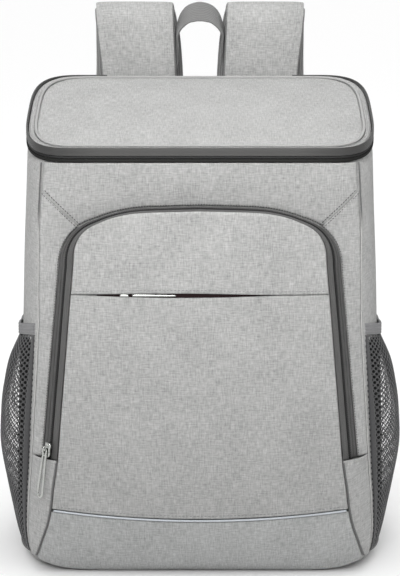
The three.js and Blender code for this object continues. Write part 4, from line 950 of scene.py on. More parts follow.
# %% Top panel
def top_panel():
    """Rows from the zip and the diagonal seams up to the lid, on the tub's front, valleys at its seams."""
    arch_s = np.linspace(0, DIAGONAL_ON_ARCH, 200)
    ax, az = tape_arch(arch_s)
    corner_x = corner_seam(DIAGONAL_HEIGHT)[0]
    ax, az = np.append(ax, corner_x), np.append(az, DIAGONAL_HEIGHT)
    s = np.linspace(-1, 1, 121)[None]
    s = np.sign(s) * (1 - (1 - np.abs(s)) ** 1.25)
    v = np.linspace(0, 1, 30)[:, None]
    reach_at = lambda z: corner_seam(z)[..., 0] - SHORT_OF_SEAM
    low = np.interp(np.abs(s * reach_at(345.0)), ax, az) + SEAM_GAP
    z = mix(low, SKIN_TOP, v)
    x = s * reach_at(z)
    y = skin_y(x, z) - FABRIC
    edge = np.minimum((1 - np.abs(s)) * 134, np.minimum(z - low, SKIN_TOP - z + 3))
    y = y + 1.2 * np.exp(-edge / 1.5) - 0.25 * wander(x, z, 90, 4) * np.clip(edge / 20, 0, 1)
    return np.stack([x, y, z], -1)


points = top_panel()
front_top = surface("front_top_cloth", points, uv=points[..., [0, 2]], hint=(0, -1, 0), thick=FRONT_THICK)
finish_piece(front_top, heather_cloth, ["front_top_panel"])


# %% Side strips and lower gussets
def ruled(outer, inner, columns, bow, seed):
    """Cloth between two seams: straight across, bowed out in the middle, and pulled in at both seams."""
    w = np.linspace(0, 1, columns)[None, :, None]
    points = mix(outer[:, None], inner[:, None], w)
    points[..., 1] = np.minimum(points[..., 1], skin_y(points[..., 0], points[..., 2]))
    run = np.gradient(points, axis=0)
    out = unit(np.cross(run, np.gradient(points, axis=1)))
    out *= np.sign((out * np.array([0.6, -1, 0])).sum(-1, keepdims=True))
    width = np.linalg.norm(inner - outer, axis=1)[:, None]
    w = w[..., 0]
    edge = np.minimum(w, 1 - w) * width
    valleys = 0.9 * np.exp(-edge / 1.3) + 0.9 * np.exp(-(1 - w) * width / 3.2)
    lift = FABRIC - valleys + bow * np.sin(math.pi * w) * np.clip(width / 20, 0, 1)
    lift = lift + 0.3 * wander(points[..., 0] * 2, points[..., 2], 60, seed) * np.clip(edge / 8, 0, 1)
    return points + out * lift[..., None]


def side_strip():
    """From the corner seam to the zip, between the transverse and the diagonal seams."""
    v = np.linspace(0, 1, 110)
    outer = corner_seam(mix(105.0, DIAGONAL_HEIGHT, v)) - [SHORT_OF_SEAM, 0, 0]
    inner = tape_edge(mix(1, DIAGONAL_ON_ARCH, v))
    inner[:, 1] = np.minimum(inner[:, 1] + FABRIC, skin_y(inner[:, 0], inner[:, 2]))
    inner[:, 0] += SEAM_GAP
    return ruled(outer, inner, 26, 0.6, 5)


def lower_gusset():
    """From the corner seam to the front panel's edge, narrowing down to the base."""
    v = np.linspace(0, 1, 60)
    outer = corner_seam(mix(104.4, SEAM_FOOT, v)) - [SHORT_OF_SEAM, 0, 0]
    z = mix(109.0, 14.5, v)
    edge = panel_side(z)
    width = np.linalg.norm(outer - edge, axis=1, keepdims=True)
    inner = mix(edge, outer, np.minimum(0.6, 2.0 / width))
    return ruled(outer, inner, 30, 0.8 + 3.6 * np.exp(-v[:, None] * 93 / 13), 6)


for side, turn in SIDES:
    for name, node, points, flat in (
        (f"side_strip_cloth_{side}", f"gusset_strip_{side}", side_strip(), (0.05, 0.235)),
        (f"lower_gusset_cloth_{side}", f"lower_gusset_{side}", lower_gusset(), (0.055, 0.11)),
    ):
        points = turn(points)
        strip = surface(name, points, uv=points[..., [0, 2]], hint=(0, -1, 0), thick=FRONT_THICK)
        finish_piece(strip, heather_cloth, [node])

# %% Corner and panel piping
for side, turn in SIDES:
    heights = np.linspace(SKIN_TOP - SEAM_GAP, SEAM_FOOT, 160)
    proud = mix(0.5, 1.6, np.clip((heights - 285) / 30, 0, 1))[:, None]
    corner = tube(f"corner_seam_cord_{side}", turn(corner_seam(heights, proud)), 0.62, (1, -1, 0))
    finish_piece(corner, corner_piping, [f"corner_piping_{side}"])
    path = panel_side(np.linspace(TAPE_FOOT, 15, 70)) + [1.0, 0.9, 0]
    cord = tube(f"panel_seam_cord_{side}", turn(path), 0.8, (1, -1, 0))
    finish_piece(cord, piping_cloth, [f"panel_piping_{side}"])

# %% [markdown]
# ## The front pocket's panel
# The pocket swells because its gusset is wider at the foot than at the top. Its panel is made of three
# cuts: above the slit, below it, and a base cut under the reflective cord. All three are one function
# of height and place across, so their seams meet exactly.
# %% Pocket panels
def slit_gap(u):
    """Opening of the slit: a long lens, widest left of the middle."""
    off = (u + 0.18) / 0.82
    return 0.1 + 3.4 * np.clip(1 - off * off, 0, 1) ** 1.5


def roll(edge, radius):
    """How far a turned edge falls back: a quarter circle over radius."""
    d = np.clip(edge, 0, radius)
    return radius - np.sqrt(radius**2 - (radius - d) ** 2)


def pocket_cut(heights, top_edge, foot_edge, radius=2.6):
    """A cut of the panel: heights (rows, columns), rolled back at its sides and at its turned hems."""
    t = np.linspace(-1, 1, 121)[None]
    u = 0.4 * t + 0.6 * np.sin(t * math.pi / 2)
    h = heights(u)
    points = panel_point(h, u + 0 * h)
    side = (1 - np.abs(u)) * panel_half(h)
    back = roll(side, radius)
    if top_edge is not None:
        back = np.maximum(back, roll(top_edge(u) - h, radius))
    if foot_edge is not None:
        back = np.maximum(back, roll(h - foot_edge(u), radius))
    soft = 0.45 * wander(points[..., 0], points[..., 2], 120, 11) * np.clip(side / 30, 0, 1)
    points[..., 1] += back + soft
    return points


def rows_between(a, b, count):
    """Heights between two, closer together near both ends."""
    t = np.linspace(-1, 1, count)
    return mix(a, b, (0.45 * t + 0.55 * np.sin(t * math.pi / 2) + 1) / 2)


shoulder = ARCH_TOP - ARCH_DROP * (1 - np.cos(np.linspace(0, 1, 26)[:-1] * math.pi / 2) ** (2 / ARCH_POWER))
SLIT_HEIGHT, CORD_HEIGHT = 255.0, 62.8
CORD_TOP, CORD_FOOT = CORD_HEIGHT + 1.1, CORD_HEIGHT - 1.1


def top_lip(u):
    """Height of the slit's upper lip."""
    return SLIT_HEIGHT + slit_gap(u) / 2


def foot_lip(u):
    """Height of the slit's lower lip."""
    return SLIT_HEIGHT - slit_gap(u) / 2


def upper_heights(u):
    """Shoulder rows first, then rows that bend into the slit's upper lip."""
    t = (1 - np.cos(np.linspace(0, 1, 34) * math.pi)) / 2
    return np.concatenate([shoulder[:, None] + 0 * u, mix(ARCH_TOP - ARCH_DROP, top_lip(u), t[:, None])])


def lower_heights(u):
    """Rows from the slit's lower lip to the reflective cord."""
    t = rows_between(0, 1, 90)[:, None]
    return mix(foot_lip(u), CORD_TOP + 0 * u, t)


def base_heights(u):
    """Rows from the reflective cord to the base."""
    return rows_between(CORD_FOOT, 13.5, 50)[:, None] + 0 * u


cuts = (
    ("upper", pocket_cut(upper_heights, lambda u: ARCH_TOP, top_lip), heather_cloth, (0.23, 0.08)),
    ("lower", pocket_cut(lower_heights, foot_lip, lambda u: CORD_TOP, 1.5), heather_cloth, (0.26, 0.21)),
    ("base", pocket_cut(base_heights, lambda u: CORD_FOOT, None, 1.5), base_painted_tone_cloth, (0.3, 0.065)),
)
for part, points, cloth, flat in cuts:
    level = -walked(points, 0)[:, 60:61] if cloth is base_painted_tone_cloth else points[..., 2]
    uv = np.stack([points[..., 0], level + 0 * points[..., 2]], -1)
    cut = surface(f"pocket_cloth_{part}", points, uv=uv, hint=(0, -1, 0), thick=1.6)
    finish_piece(cut, cloth, [f"pocket_panel_{part}"])

# %% Reflective cord
u = np.linspace(-0.985, 0.985, 160)
path = panel_point(CORD_HEIGHT, u) + [0, 0.35, 0]
cord = tube("reflective_seam_cord", path, 0.95, (0, -1, 0))
finish_piece(cord, reflective, ["reflective_cord"])

# %% [markdown]
# ## The pocket's zip
# The gusset between bag and panel is the zip itself. Two tapes leave the coil in the middle, and the
# whole strip is ruled between the tape's outer edge and the panel's edge, so it widens down the sides.
# %% Pocket zip
def zip_strip(name, start, stop, height, columns=15, ripple=0.0, pitch=1.6):
    """The part of the ruled strip between two shares of its width, standing out by height."""
    fine = np.linspace(0, 1, 1100 if ripple else 330)
    outer, inner = tape_edge(fine), panel_edge(fine)
    if ripple:
        outer, inner = resample_pair(outer, inner)
    outer, inner = (np.concatenate([mirror_points(half[:0:-1]), half]) for half in (outer, inner))
    width = np.linalg.norm(inner - outer, axis=1)[:, None]
    w = np.linspace(start, stop, columns)[None]
    share = (SEAM_GAP + w * (width - SEAM_GAP - 3.4)) / width
    points = mix(outer[:, None], inner[:, None], share[..., None])
    out = unit(np.cross(np.gradient(outer, axis=0), inner - outer))
    out *= np.sign((out * (outer - np.array([0, -HALF_DEPTH, 215]))).sum(1, keepdims=True))
    way = way_along(outer)
    edge = np.minimum(w - start, stop - w) / (stop - start) * 2
    lift = height * (1 - (1 - edge) ** 3) + 0 * way[:, None]
    if start == 0:
        fold = 0.9 * np.exp(-(((w - 0.27) / 0.035) ** 2))
        lift = lift - fold * np.clip(np.abs(points[:, :1, 0]) / 60 - 0.9, 0, 1)
    if ripple:
        lift = lift * (1 + ripple * (np.abs(np.sin(way / pitch * math.pi)) - 0.5))[:, None]
    else:
        lift = lift + 0.18 * wander(w * 9 + 0 * way[:, None], way[:, None] / 30, 5, 7)
    points = points + out[:, None] * lift[..., None]
    uv = np.stack([share * width, way[:, None] + 0 * share], -1)
    return surface(name, points, uv=uv, thick=1.0)


def resample_pair(outer, inner):
    """Both edges at equal distances along the outer one."""
    way = way_along(outer)
    at = np.linspace(0, way[-1], len(outer))
    return read_off(outer, way, at), read_off(inner, way, at)


outer_tape = zip_strip("pocket_zip_outer_tape", 0, 0.475, 0.35)
finish_piece(outer_tape, pocket_outer_tape, ["pocket_zip_tape_outer"])
pocket_coil = zip_strip("pocket_zip_nylon", 0.485, 0.615, 1.1, columns=6, ripple=0.5)
finish_piece(pocket_coil, coil_nylon, ["pocket_zip_coil"])
inner_tape = zip_strip("pocket_zip_inner_tape", 0.625, 1.05, 0.35)
finish_piece(inner_tape, pocket_tape, ["pocket_zip_tape_inner"])

# %% [markdown]
# ## Mesh pockets
# The side pockets are knitted mesh with an elastic hem. The net is built as real holes: the cloth is
# divided into diamonds, and each diamond is a ring of quads round a small round hole, so light and the
# background show through it as they do in the photograph.
# %% Mesh pocket surface
def pocket_surface(q, share, bulge):
    """Place on the mesh: q from the front seam, 0, to the back seam, 1, and share of its height."""
    z = mix(SEAM_FOOT, 201 + np.where(q < 0.5, 10, 2) * (2 * q - 1) ** 2, share)
    seam = corner_seam(z)[..., 1] + PIPING * 2 + SEAM_GAP * 2
    y = mix(seam, 74.0, q)
    sin_low = np.clip(np.sin(math.pi * q), 0, 1) ** 0.55
    sin_high = (5 * q * np.exp(1 - 5 * q)) ** 2.5
    return np.stack([side_x(y, z) + SEAM_GAP + bulge * mix(sin_low, sin_high, share**4), y, z], -1)


SWELL_SHARE = [0, 0.06, 0.14, 0.26, 0.42, 0.6, 0.76, 0.88, 1]
SWELL = [0.0, 0.08, 0.24, 0.54, 0.86, 1, 0.86, 0.6, 0.05]


def mesh_place(q, share):
    """The mesh's outer face, which swells with its height and ripples a little as loose net does."""
    q, share = np.clip(q, 0, 1), np.clip(share, 0, 1)
    bulge = 19 * smooth_table(SWELL_SHARE, SWELL, share) + SEAM_GAP + 1.2
    slack = wander(q * 160, share * 190, 70, 21) * 1.1 * np.sin(math.pi * q) * np.sin(math.pi * share)
    return pocket_surface(q, share, bulge + slack)


def net(name, place, width, height, pitch_x, pitch_z, hole, turn):
    """Diamonds on staggered rows, each an outer ring of eight points and a hole of eight, as quads."""
    rows, columns = int(height / pitch_z * 2), int(width / pitch_x)
    r, c = np.meshgrid(np.arange(rows + 1), np.arange(columns + 1), indexing="ij")
    centre = np.stack([(c + 0.5 * (r % 2)) / columns, r / rows], -1).reshape(-1, 1, 2)
    angle = np.arange(8) * math.pi / 4
    diamond = np.stack([np.cos(angle), np.sin(angle)], -1)
    diamond[1::2] = np.sign(diamond[1::2]) * 0.5
    inner = np.stack([np.cos(angle), np.sin(angle)], -1) * hole
    half = np.array([0.5 / columns, 1.0 / rows])
    flat = np.concatenate([centre + shape * half for shape in (diamond, inner)], 1)
    flat = flat[(centre[:, 0] <= 1).all(1)]
    cells = len(flat)
    points = turn(place(flat[..., 0].ravel(), flat[..., 1].ravel()))
    k = np.arange(8)
    quad = np.stack([k, (k + 1) % 8, 8 + (k + 1) % 8, 8 + k], -1)
    faces = (quad[None] + np.arange(cells)[:, None, None] * 16).reshape(-1, 4)
    uv = flat.reshape(-1, 2) * [width, height]
    a, b, d = points[faces[:, 0]], points[faces[:, 1]], points[faces[:, 3]]
    if (np.cross(b - a, d - a) * [np.sign(points[:, 0].mean()), 0, 0]).sum() < 0:
        faces = faces[:, ::-1]
    return piece_from(name, points, faces, uv[faces], thick=0.35, weld=True), cells


# %% Mesh pockets, hems and elastic bands
MESH_WIDTH, MESH_HEIGHT = 180.0, 198.0
for side, turn in SIDES:
    pocket, cells = net(f"pocket_net_{side}", mesh_place, MESH_WIDTH, MESH_HEIGHT, 5.4, 5.0, 0.62, turn)
    finish_piece(pocket, mesh_cord, [f"mesh_pocket_{side}"])
    print("holes:", cells)
    q, share = np.meshgrid(np.linspace(0.01, 0.995, 60), np.linspace(0.02, 0.99, 70))
    # A near-black sheet just inside each net stands for the shade in the pocket, so that its holes read dark.
    lining = pocket_surface(q, share, 2.4 * np.clip(np.sin(math.pi * q), 0, 1) ** 0.3)
    lining[..., 0] = np.minimum(lining[..., 0], mesh_place(q, share)[..., 0] - 1.2)
    shade_sheet = surface(f"net_shade_sheet_{side}", turn(lining), hint=turn(np.array([1.0, 0, 0])), thick=0.5)
    finish_piece(shade_sheet, painted_shade_sheet, [])
    q, share = np.meshgrid(np.linspace(0, 0.015, 6), np.linspace(0.004, 1, 150))
    edge_band = mesh_place(q, share)
    edge_band[..., 0] += 0.5 + 0.25 * np.abs(np.sin(share * 110))
    binding = surface(f"net_binding_{side}", turn(edge_band), hint=turn(np.array([1.0, -1, 0])), thick=0.8)
    finish_piece(binding, mesh_cord, [])
    q, rise = np.meshgrid(np.linspace(0, 1, 110), np.linspace(0, 1, 22))
    band = pocket_surface(q, 1 + 0 * q, 3.1)
    fold = 1.1 * roll(np.minimum(rise, 1 - rise) * 11, 1.4)
    band[..., 2] += mix(0.3, 10.8, rise)
    gathers = 0.5 * np.sin(q * 42) * np.sin(math.pi * q) * 0.5
    band[..., 0] += 0.6 * np.abs(np.sin(rise * math.pi * 4)) - fold + gathers
    band_piece = surface(f"elastic_hem_{side}", turn(band), hint=turn(np.array([1.0, 0, 0])), thick=1.5)
    finish_piece(band_piece, elastic_cloth, [f"elastic_band_{side}"])
    foot = np.linspace(0, 1, 120)
    hem_path = mesh_place(foot, 0.008 + 0 * foot)
    hem = tube(f"net_hem_{side}", turn(hem_path), 1.2, (0, 0, 1), 10)
    finish_piece(hem, piping_cloth, [])

# %% [markdown]
# ## Shoulder straps
# A strap is a foam band between an outer cloth and a mesh lining. It leaves the back behind the lid,
# rises, folds over, and comes down again to its webbing. The route is a curve through the frame's own
# stations, and the section is a flat oval whose width changes on the way.
# %% Strap route
STRAP_ROOT = 348.0
STRAP_RISE = 479.5 - STRAP_ROOT - 5.5
STRAP_ROWS = np.array([
    [0, 7, 55, 62], [0.3, 7, 55, 65], [0.6, 7.5, 57, 67], [0.8, 9.5, 59, 69], [0.93, 13.5, 60.5, 70.5],
    [0.99, 21, 61, 71], [1, 28, 61, 71.5], [0.975, 36, 60.5, 72.5], [0.9, 42, 59.5, 74], [0.76, 46, 58, 77],
    [0.45, 50, 57, 80], [0, 54, 58, 80], [-0.5, 56, 63, 77], [-1, 52, 71, 70], [-1.35, 46, 78, 60],
    [-1.6, 37.5, 84.5, 48],
])
rise, behind, middle, strap_width = STRAP_ROWS.T
strap_centres = np.stack([middle, BACK_FACE + behind, STRAP_ROOT + rise * STRAP_RISE], -1)
STRAP_STEPS = 240
strap_line = spline(strap_centres, STRAP_STEPS)
strap_half = np.interp(np.linspace(0, 15, STRAP_STEPS), np.arange(16), strap_width) / 2
strap_across = np.broadcast_to([1.0, 0, 0], strap_line.shape)
strap_up = unit(np.cross(strap_across, unit(np.gradient(strap_line, axis=0))))
print("strap length in mm:", round(float(way_along(strap_line)[-1])))


def strap_layer(offset, thick, power, inset, crown, sides=36):
    """The flat oval along the strap, its middle offset along up, its outer half crowned by crown."""
    turn = np.linspace(0, 2 * math.pi, sides, endpoint=False)
    a, b = signed_power(np.cos(turn), 2 / 7), signed_power(np.sin(turn), 2 / power)
    across = a[None] * (strap_half[:, None] - inset)
    up = b[None] * (thick / 2 + crown * (1 - a[None] ** 2)) + offset + 0 * across
    return closed_ends(sweep(strap_line, strap_across, strap_up, np.stack([across, up], -1)))


# %% Strap pieces
for side, turn in SIDES:
    rows = turn(strap_layer(4.6, 3.0, 3.0, 0.0, 0.2))
    strap_uv = np.stack([rows[..., 0], walked(rows, 0)[:, 9:10] + 0 * rows[..., 0]], -1)
    face = surface(f"strap_cloth_{side}", rows, wrap=True, uv=strap_uv)
    finish_piece(face, heather_cloth, [f"strap_face_{side}"])
    lining = surface(f"strap_foam_{side}", turn(strap_layer(-1.7, 7.6, 2.6, -1.2, 0.4)), wrap=True)
    finish_piece(lining, spacer_mesh, [f"strap_lining_{side}"])

# %% Haul handle
HANDLE_ROWS = [
    (0, 15.2, 40, 1.57, 0), (0.2, 16.6, 38, 1.5, 0), (0.36, 20.8, 33, 1.15, 0), (0.5, 23, 26, 0.6, 0),
    (0.64, 18, 22, 0.15, 0.15), (0.78, 14.5, 21, 0, 0.35), (0.89, 12.5, 17, 0, 0.5), (0.97, 11.7, 10, 0, 0.6),
    (1, 11.5, 0, 0, 0.64),
]


def ribbon(path, widthways, width, thick=1.8, sides=24):
    """Webbing: a thin soft rectangle along a path, its width along the direction given at each point."""
    run = unit(np.gradient(path, axis=0))
    across = unit(widthways - run * (widthways * run).sum(1, keepdims=True))
    up = np.cross(run, across)
    return closed_ends(sweep(path, across, up, soft_section(width / 2, thick / 2, 6.0, sides)))


def handle_surface():
    """Half the arch from its table and its mirror image, with the width's direction turning along it."""
    half_points, half_ways = [], []
    for rise, behind, x, turn, tilt in HANDLE_ROWS:
        half_points.append((x, BACK_FACE + behind, 388 + rise * 84.5))
        half_ways.append((math.sin(turn), math.cos(turn) * math.cos(tilt), math.sin(tilt)))
    points, ways = np.array(half_points), np.array(half_ways)
    points, ways = (np.concatenate([half, mirror_points(half[-2::-1])]) for half in (points, ways))
    line = spline(points, 200)
    way = read_off(ways, np.arange(len(ways)), np.linspace(0, len(ways) - 1, 200))
    return ribbon(line, unit(way), 26.0)


handle = surface("handle_webbing", handle_surface(), wrap=True)
finish_piece(handle, webbing_cloth, ["haul_handle"])

# %% [markdown]
# ## Zip sliders and the pull
# The pocket's slider is a small cast body with a bridge, and its pull is a long open loop. They are
# swept from round sections, because cast zip parts have no sharp edge. The pull hangs on a pin line
# under the bridge, and it is the one piece that rides on the joint's own body.
# %% A slider in its own frame
PULL_PIVOT = np.array([-133.80046, -119.31621, 117.62579])
PULL_AXES = np.array([
    [0.5063429, -0.8540400, -0.1193000],
    [0.1255853, -0.0638389, 0.9900267],
    [-0.8531384, -0.5162753, 0.0749305],
])
PIVOT_HEIGHT = 4.9
TILT = 0.07


def placed(points, origin, axes):
    """Points of a local frame: x along its first axis, y along its second and z along its third."""
    return origin + points @ axes


def slider_body():
    """A cast body, long along y: narrower at its tail and its waist, with a crowned top."""
    y = 6.5 * np.sin(np.linspace(-1, 1, 31) * math.pi / 2)
    end = (1 - np.abs(y / 6.5) ** 5) ** 0.2
    half = (mix(3.4, 4.3, (y + 6.5) / 13) - 0.7 * np.exp(-((y / 2.2) ** 2))) * end
    section = soft_section(1, 1, 3.2, 28)
    x = section[None, :, 0] * half[:, None]
    z = 1.8 + section[None, :, 1] * 1.8 * (0.55 + 0.45 * end[:, None])
    return np.stack([x, y[:, None] + 0 * x, z], -1)


def slider_bridge():
    """A flat bar bent up, along and down again: the bridge that holds the pull."""
    along, height = [-2.9, -2.9, -2.2, 0, 2.2, 2.9, 2.9], [2.6, 5.2, 6.7, 6.95, 6.7, 5.2, 2.6]
    path = spline(np.stack([np.zeros(7), along, height], -1), 40)
    across = np.broadcast_to([1.0, 0, 0], path.shape)
    up = np.cross(across, unit(np.gradient(path, axis=0)))
    return closed_ends(sweep(path, across, up, soft_section(1.0, 0.6, 2.6, 16)))


def pull_loop(length, head, tail, thick):
    """A long loop in the xy plane: two limbs that part from head to tail, a round tail and a head bar."""
    limb = np.linspace(0, 1, 40)
    x, y = mix(head, tail, limb), mix(0, -(length - tail), limb)
    turn = np.linspace(0, math.pi, 26)[1:-1]
    start, stop = np.linspace(0, head, 6)[:-1], np.linspace(-head, 0, 6)[1:-1]
    x = np.concatenate([start, x, tail * np.cos(turn), -x[::-1], stop])
    y = np.concatenate([0 * limb[:5], y, y[-1] - tail * np.sin(turn), y[::-1], 0 * limb[:4]])
    path = np.stack([x, y, 0 * x], -1)
    looped = np.concatenate([path[-2:], path, path[:2]])
    smooth = (looped[:-4] + 2 * looped[1:-3] + 3 * looped[2:-2] + 2 * looped[3:-1] + looped[4:]) / 9
    width = mix(1.25, 1.15, np.clip(-smooth[:, 1] / length, 0, 1))
    section = soft_section(1, 1, 2.7, 18)[None] * np.stack([width, 0 * width + thick / 2], -1)[:, None]
    return ring_sweep(smooth, (0, 0, 1), section)


def cross_bar(y, half, thick):
    """The short bar between the eye and the long slot."""
    path = np.stack([np.linspace(-half, half, 8), np.full(8, y), np.zeros(8)], -1)
    return bar(path, (0, 0, 1), soft_section(0.75, thick / 2, 2.7, 18))


def joined(name, grids, origin, axes, scale=1.0):
    """Several closed grids made into one object in the given frame."""
    parts = [
        surface(f"{name}_{k}", placed(grid * scale, origin, axes), wrap=True)
        for k, grid in enumerate(grids)
    ]
    return merge(name, parts)


def merge(name, parts):
    """Puts several meshes into the first one and names it."""
    work = bmesh.new()
    for part in parts:
        work.from_mesh(part.data)
    keep = parts[0]
    work.to_mesh(keep.data)
    work.free()
    for part in parts[1:]:
        bpy.data.objects.remove(part)
    keep.name = keep.data.name = name
    return keep


# %% Pocket slider and pull
slider_axes = np.array([
    math.cos(TILT) * PULL_AXES[0] + math.sin(TILT) * PULL_AXES[1],
    math.cos(TILT) * PULL_AXES[1] - math.sin(TILT) * PULL_AXES[0],
    PULL_AXES[2],
])
slider_origin = PULL_PIVOT - PIVOT_HEIGHT * PULL_AXES[2]
slider = joined("pocket_zip_slider", [slider_body(), slider_bridge()], slider_origin, slider_axes)
finish_piece(slider, metal, ["pocket_slider"])
pull_grids = [pull_loop(43.6, 2.1, 4.05, 1.4), cross_bar(-4.95, 2.3, 1.3)]
pull = joined("pocket_zip_pull", pull_grids, PULL_PIVOT, PULL_AXES)
finish_piece(pull, metal, ["pocket_pull"], body="pull")

# %% Lid sliders, parked on the back at both ends of the zip
LID_SLIDER_SCALE = 0.8
for side, sign in (("right", 1), ("left", -1)):
    low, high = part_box(f"lid_slider_{side}")
    origin = np.array([sign * 91.5, (low.y - MIDDLE_Y) * 1000, (low.z + high.z) * 500])
    axes = np.array([[0, 0, float(sign)], [-float(sign), 0, 0], [0, 1.0, 0]])
    body = joined(f"lid_zip_slider_{side}", [slider_body(), slider_bridge()], origin, axes, LID_SLIDER_SCALE)
    loop = joined(
        f"lid_zip_pull_{side}", [pull_loop(41.0, 2.1, 3.2, 1.4), cross_bar(-4.95, 2.3, 1.3)],
        origin + [0, PIVOT_HEIGHT * LID_SLIDER_SCALE, 0], axes, LID_SLIDER_SCALE,
    )
    finish_piece(merge(f"lid_zip_slider_{side}", [body, loop]), metal, [f"lid_slider_{side}"])

# %% [markdown]
# ## Inside the slit
# Behind the slit lies a dark zip tape, and its slider and pull are caught between the two lips. The
# tape is the panel's own surface set back, so it follows the lips wherever they open.
# %% Slit parts
u, rise = np.meshgrid(np.linspace(-0.8, 0.72, 90), np.linspace(SLIT_HEIGHT - 8, SLIT_HEIGHT + 8, 9))
slit_points = panel_point(rise, u) + [0, 3.6, 0]
slit_cloth = surface("slit_zip_cloth", slit_points, hint=(0, -1, 0), thick=1.0)
finish_piece(slit_cloth, slit_tape, ["slit_zip_tape"])


def slit_bar(name, start, stop, half_height, half_deep, set_back, taper):
    """A rounded bar inside the slit from one place across to another, thinner at its ends by taper."""
    t = np.linspace(0, 1, 40)
    path = panel_point(SLIT_HEIGHT, mix(start, stop, t)) + [0, set_back, 0]
    ends = (1 - np.abs(2 * t - 1) ** 6) ** (1 / 6)
    size = (1 - taper * t) * np.maximum(ends, 0.02)
    section = soft_section(half_height, half_deep, 2.6, 20)[None] * size[:, None, None]
    return surface(name, bar(path, (0, -1, 0), section), wrap=True)


slit_slider = slit_bar("slit_zip_slider", -0.62, -0.55, 1.3, 1.3, 0.9, 0.0)
finish_piece(slit_slider, metal, ["slit_slider"])
slit_pull = slit_bar("slit_zip_pull", -0.53, -0.18, 1.15, 0.9, 1.7, 0.35)
finish_piece(slit_pull, metal, ["slit_pull"])

# %% [markdown]
# ## The back
# A flat padded panel of spacer mesh lies against the wearer. It is blown up with a cloth simulation:
# a thin closed bag is remeshed and filled with pressure, and no point may move more than 3.5 mm. Its
# sewn channels are pressed in afterwards, as a needle would do.
# %% Back pad
PAD_HALF_WIDTH, PAD_FOOT, PAD_TOP, PAD_CORNER = 92.0, 18.0, 398.0, 40.0
PAD_MIDDLE = (PAD_TOP + PAD_FOOT) / 2
PAD_CHANNELS = (112.0, 208.0, 304.0)
SIM_FRAMES = 20
MOST_MOVED = 3.5


def pad_outline(inset):
    """A rounded rectangle: straight sides joined by quarter circles, drawn in by inset."""
    half_height = (PAD_TOP - PAD_FOOT) / 2 - inset
    return rounded_rectangle(PAD_HALF_WIDTH - inset, half_height, PAD_CORNER - inset * 0.5, 12)


def pad_blank():
    """The unfilled pad: rings from the back's middle, round a thin rounded edge, to the front's middle."""
    turn = np.linspace(-math.pi / 2, math.pi / 2, 9)
    inset = np.concatenate([[60, 20], 2.5 + 2.5 * (1 - np.cos(turn)), [20, 60]])
    rise = np.concatenate([[0, 0], 3 + 3 * np.sin(turn), [6.4, 6.6]])
    rings = []
    for i, r in zip(inset, rise):
        ring = pad_outline(float(i)) if i < 30 else pad_outline(30.0) * 0.4
        y = np.full(len(ring), BACK_FACE - 9.6 + r)
        rings.append(np.stack([ring[:, 0], y, ring[:, 1] + PAD_MIDDLE], -1))
    middle = [np.broadcast_to(ring.mean(0), ring.shape) for ring in (rings[0], rings[-1])]
    return np.stack([middle[0], *rings, middle[1]])


def read_points(obj):
    """A mesh's points in mm in the bag's frame."""
    flat = np.empty(len(obj.data.vertices) * 3)
    obj.data.vertices.foreach_get("co", flat)
    return flat.reshape(-1, 3) * 1000 - [0, MIDDLE_Y * 1000, 0]


def write_points(obj, points):
    """Puts points in mm back into a mesh."""
    obj.data.vertices.foreach_set("co", (points * 0.001 + [0, MIDDLE_Y, 0]).ravel())
    obj.data.update()


def bake_modifiers(obj):
    """Replaces a mesh by what its modifiers make of it, and clears them."""
    graph = bpy.context.evaluated_depsgraph_get()
    made = bpy.data.meshes.new_from_object(obj.evaluated_get(graph))
    obj.modifiers.clear()
    old, obj.data = obj.data, made
    bpy.data.meshes.remove(old)


pad = surface("back_cushion", pad_blank(), wrap=True)
remesh = pad.modifiers.new("even quads", "REMESH")
remesh.mode, remesh.voxel_size = "VOXEL", 0.005
bake_modifiers(pad)
start = read_points(pad)
cloth = pad.modifiers.new("filling", "CLOTH")
cloth.settings.effector_weights.gravity = 0
cloth.settings.use_pressure = True
cloth.settings.uniform_pressure_force = 4
cloth.settings.quality = 5
for step in range(1, SIM_FRAMES + 1):
    bpy.context.scene.frame_set(step)
bake_modifiers(pad)
bpy.context.scene.frame_set(1)
moved = read_points(pad) - start
print("the filling moved the pad by up to", round(float(np.abs(moved).max()), 1), "mm")
points = start + np.clip(moved, -MOST_MOVED, MOST_MOVED)
pad_x, pad_z = np.abs(points[:, 0]), points[:, 2]
edge = np.minimum(PAD_HALF_WIDTH - pad_x, np.minimum(PAD_TOP - pad_z, pad_z - PAD_FOOT))
dome = 2.6 * (1 - np.exp(-np.clip(edge, 0, None) / 14)) * (points[:, 1] > BACK_FACE - 6)
points[:, 1] = np.clip(points[:, 1] + ((dome * 0.5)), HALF_DEPTH + 0.8, BACK_FACE + 0.3)
write_points(pad, points)
subdivision = pad.modifiers.new("finer quads", "SUBSURF")
subdivision.levels = subdivision.render_levels = 1
bake_modifiers(pad)
points = read_points(pad)
channel = np.min([np.abs(points[:, 2] - z + 0.12 * np.abs(points[:, 0])) for z in PAD_CHANNELS], axis=0)
off_middle = np.abs(points[:, 0])
channel = np.where(off_middle < 78, channel, 40)
press = 5.2 * np.exp(-((channel / 4.5) ** 2)) + 5.2 * np.exp(-((off_middle / 5.5) ** 2))
points[:, 1] -= np.clip(press, 0, 6) * (points[:, 1] > BACK_FACE - 5)
write_points(pad, points)
pad.data.polygons.foreach_set("use_smooth", [True] * len(pad.data.polygons))
finish_piece(pad, padded_back, ["back_pad"])

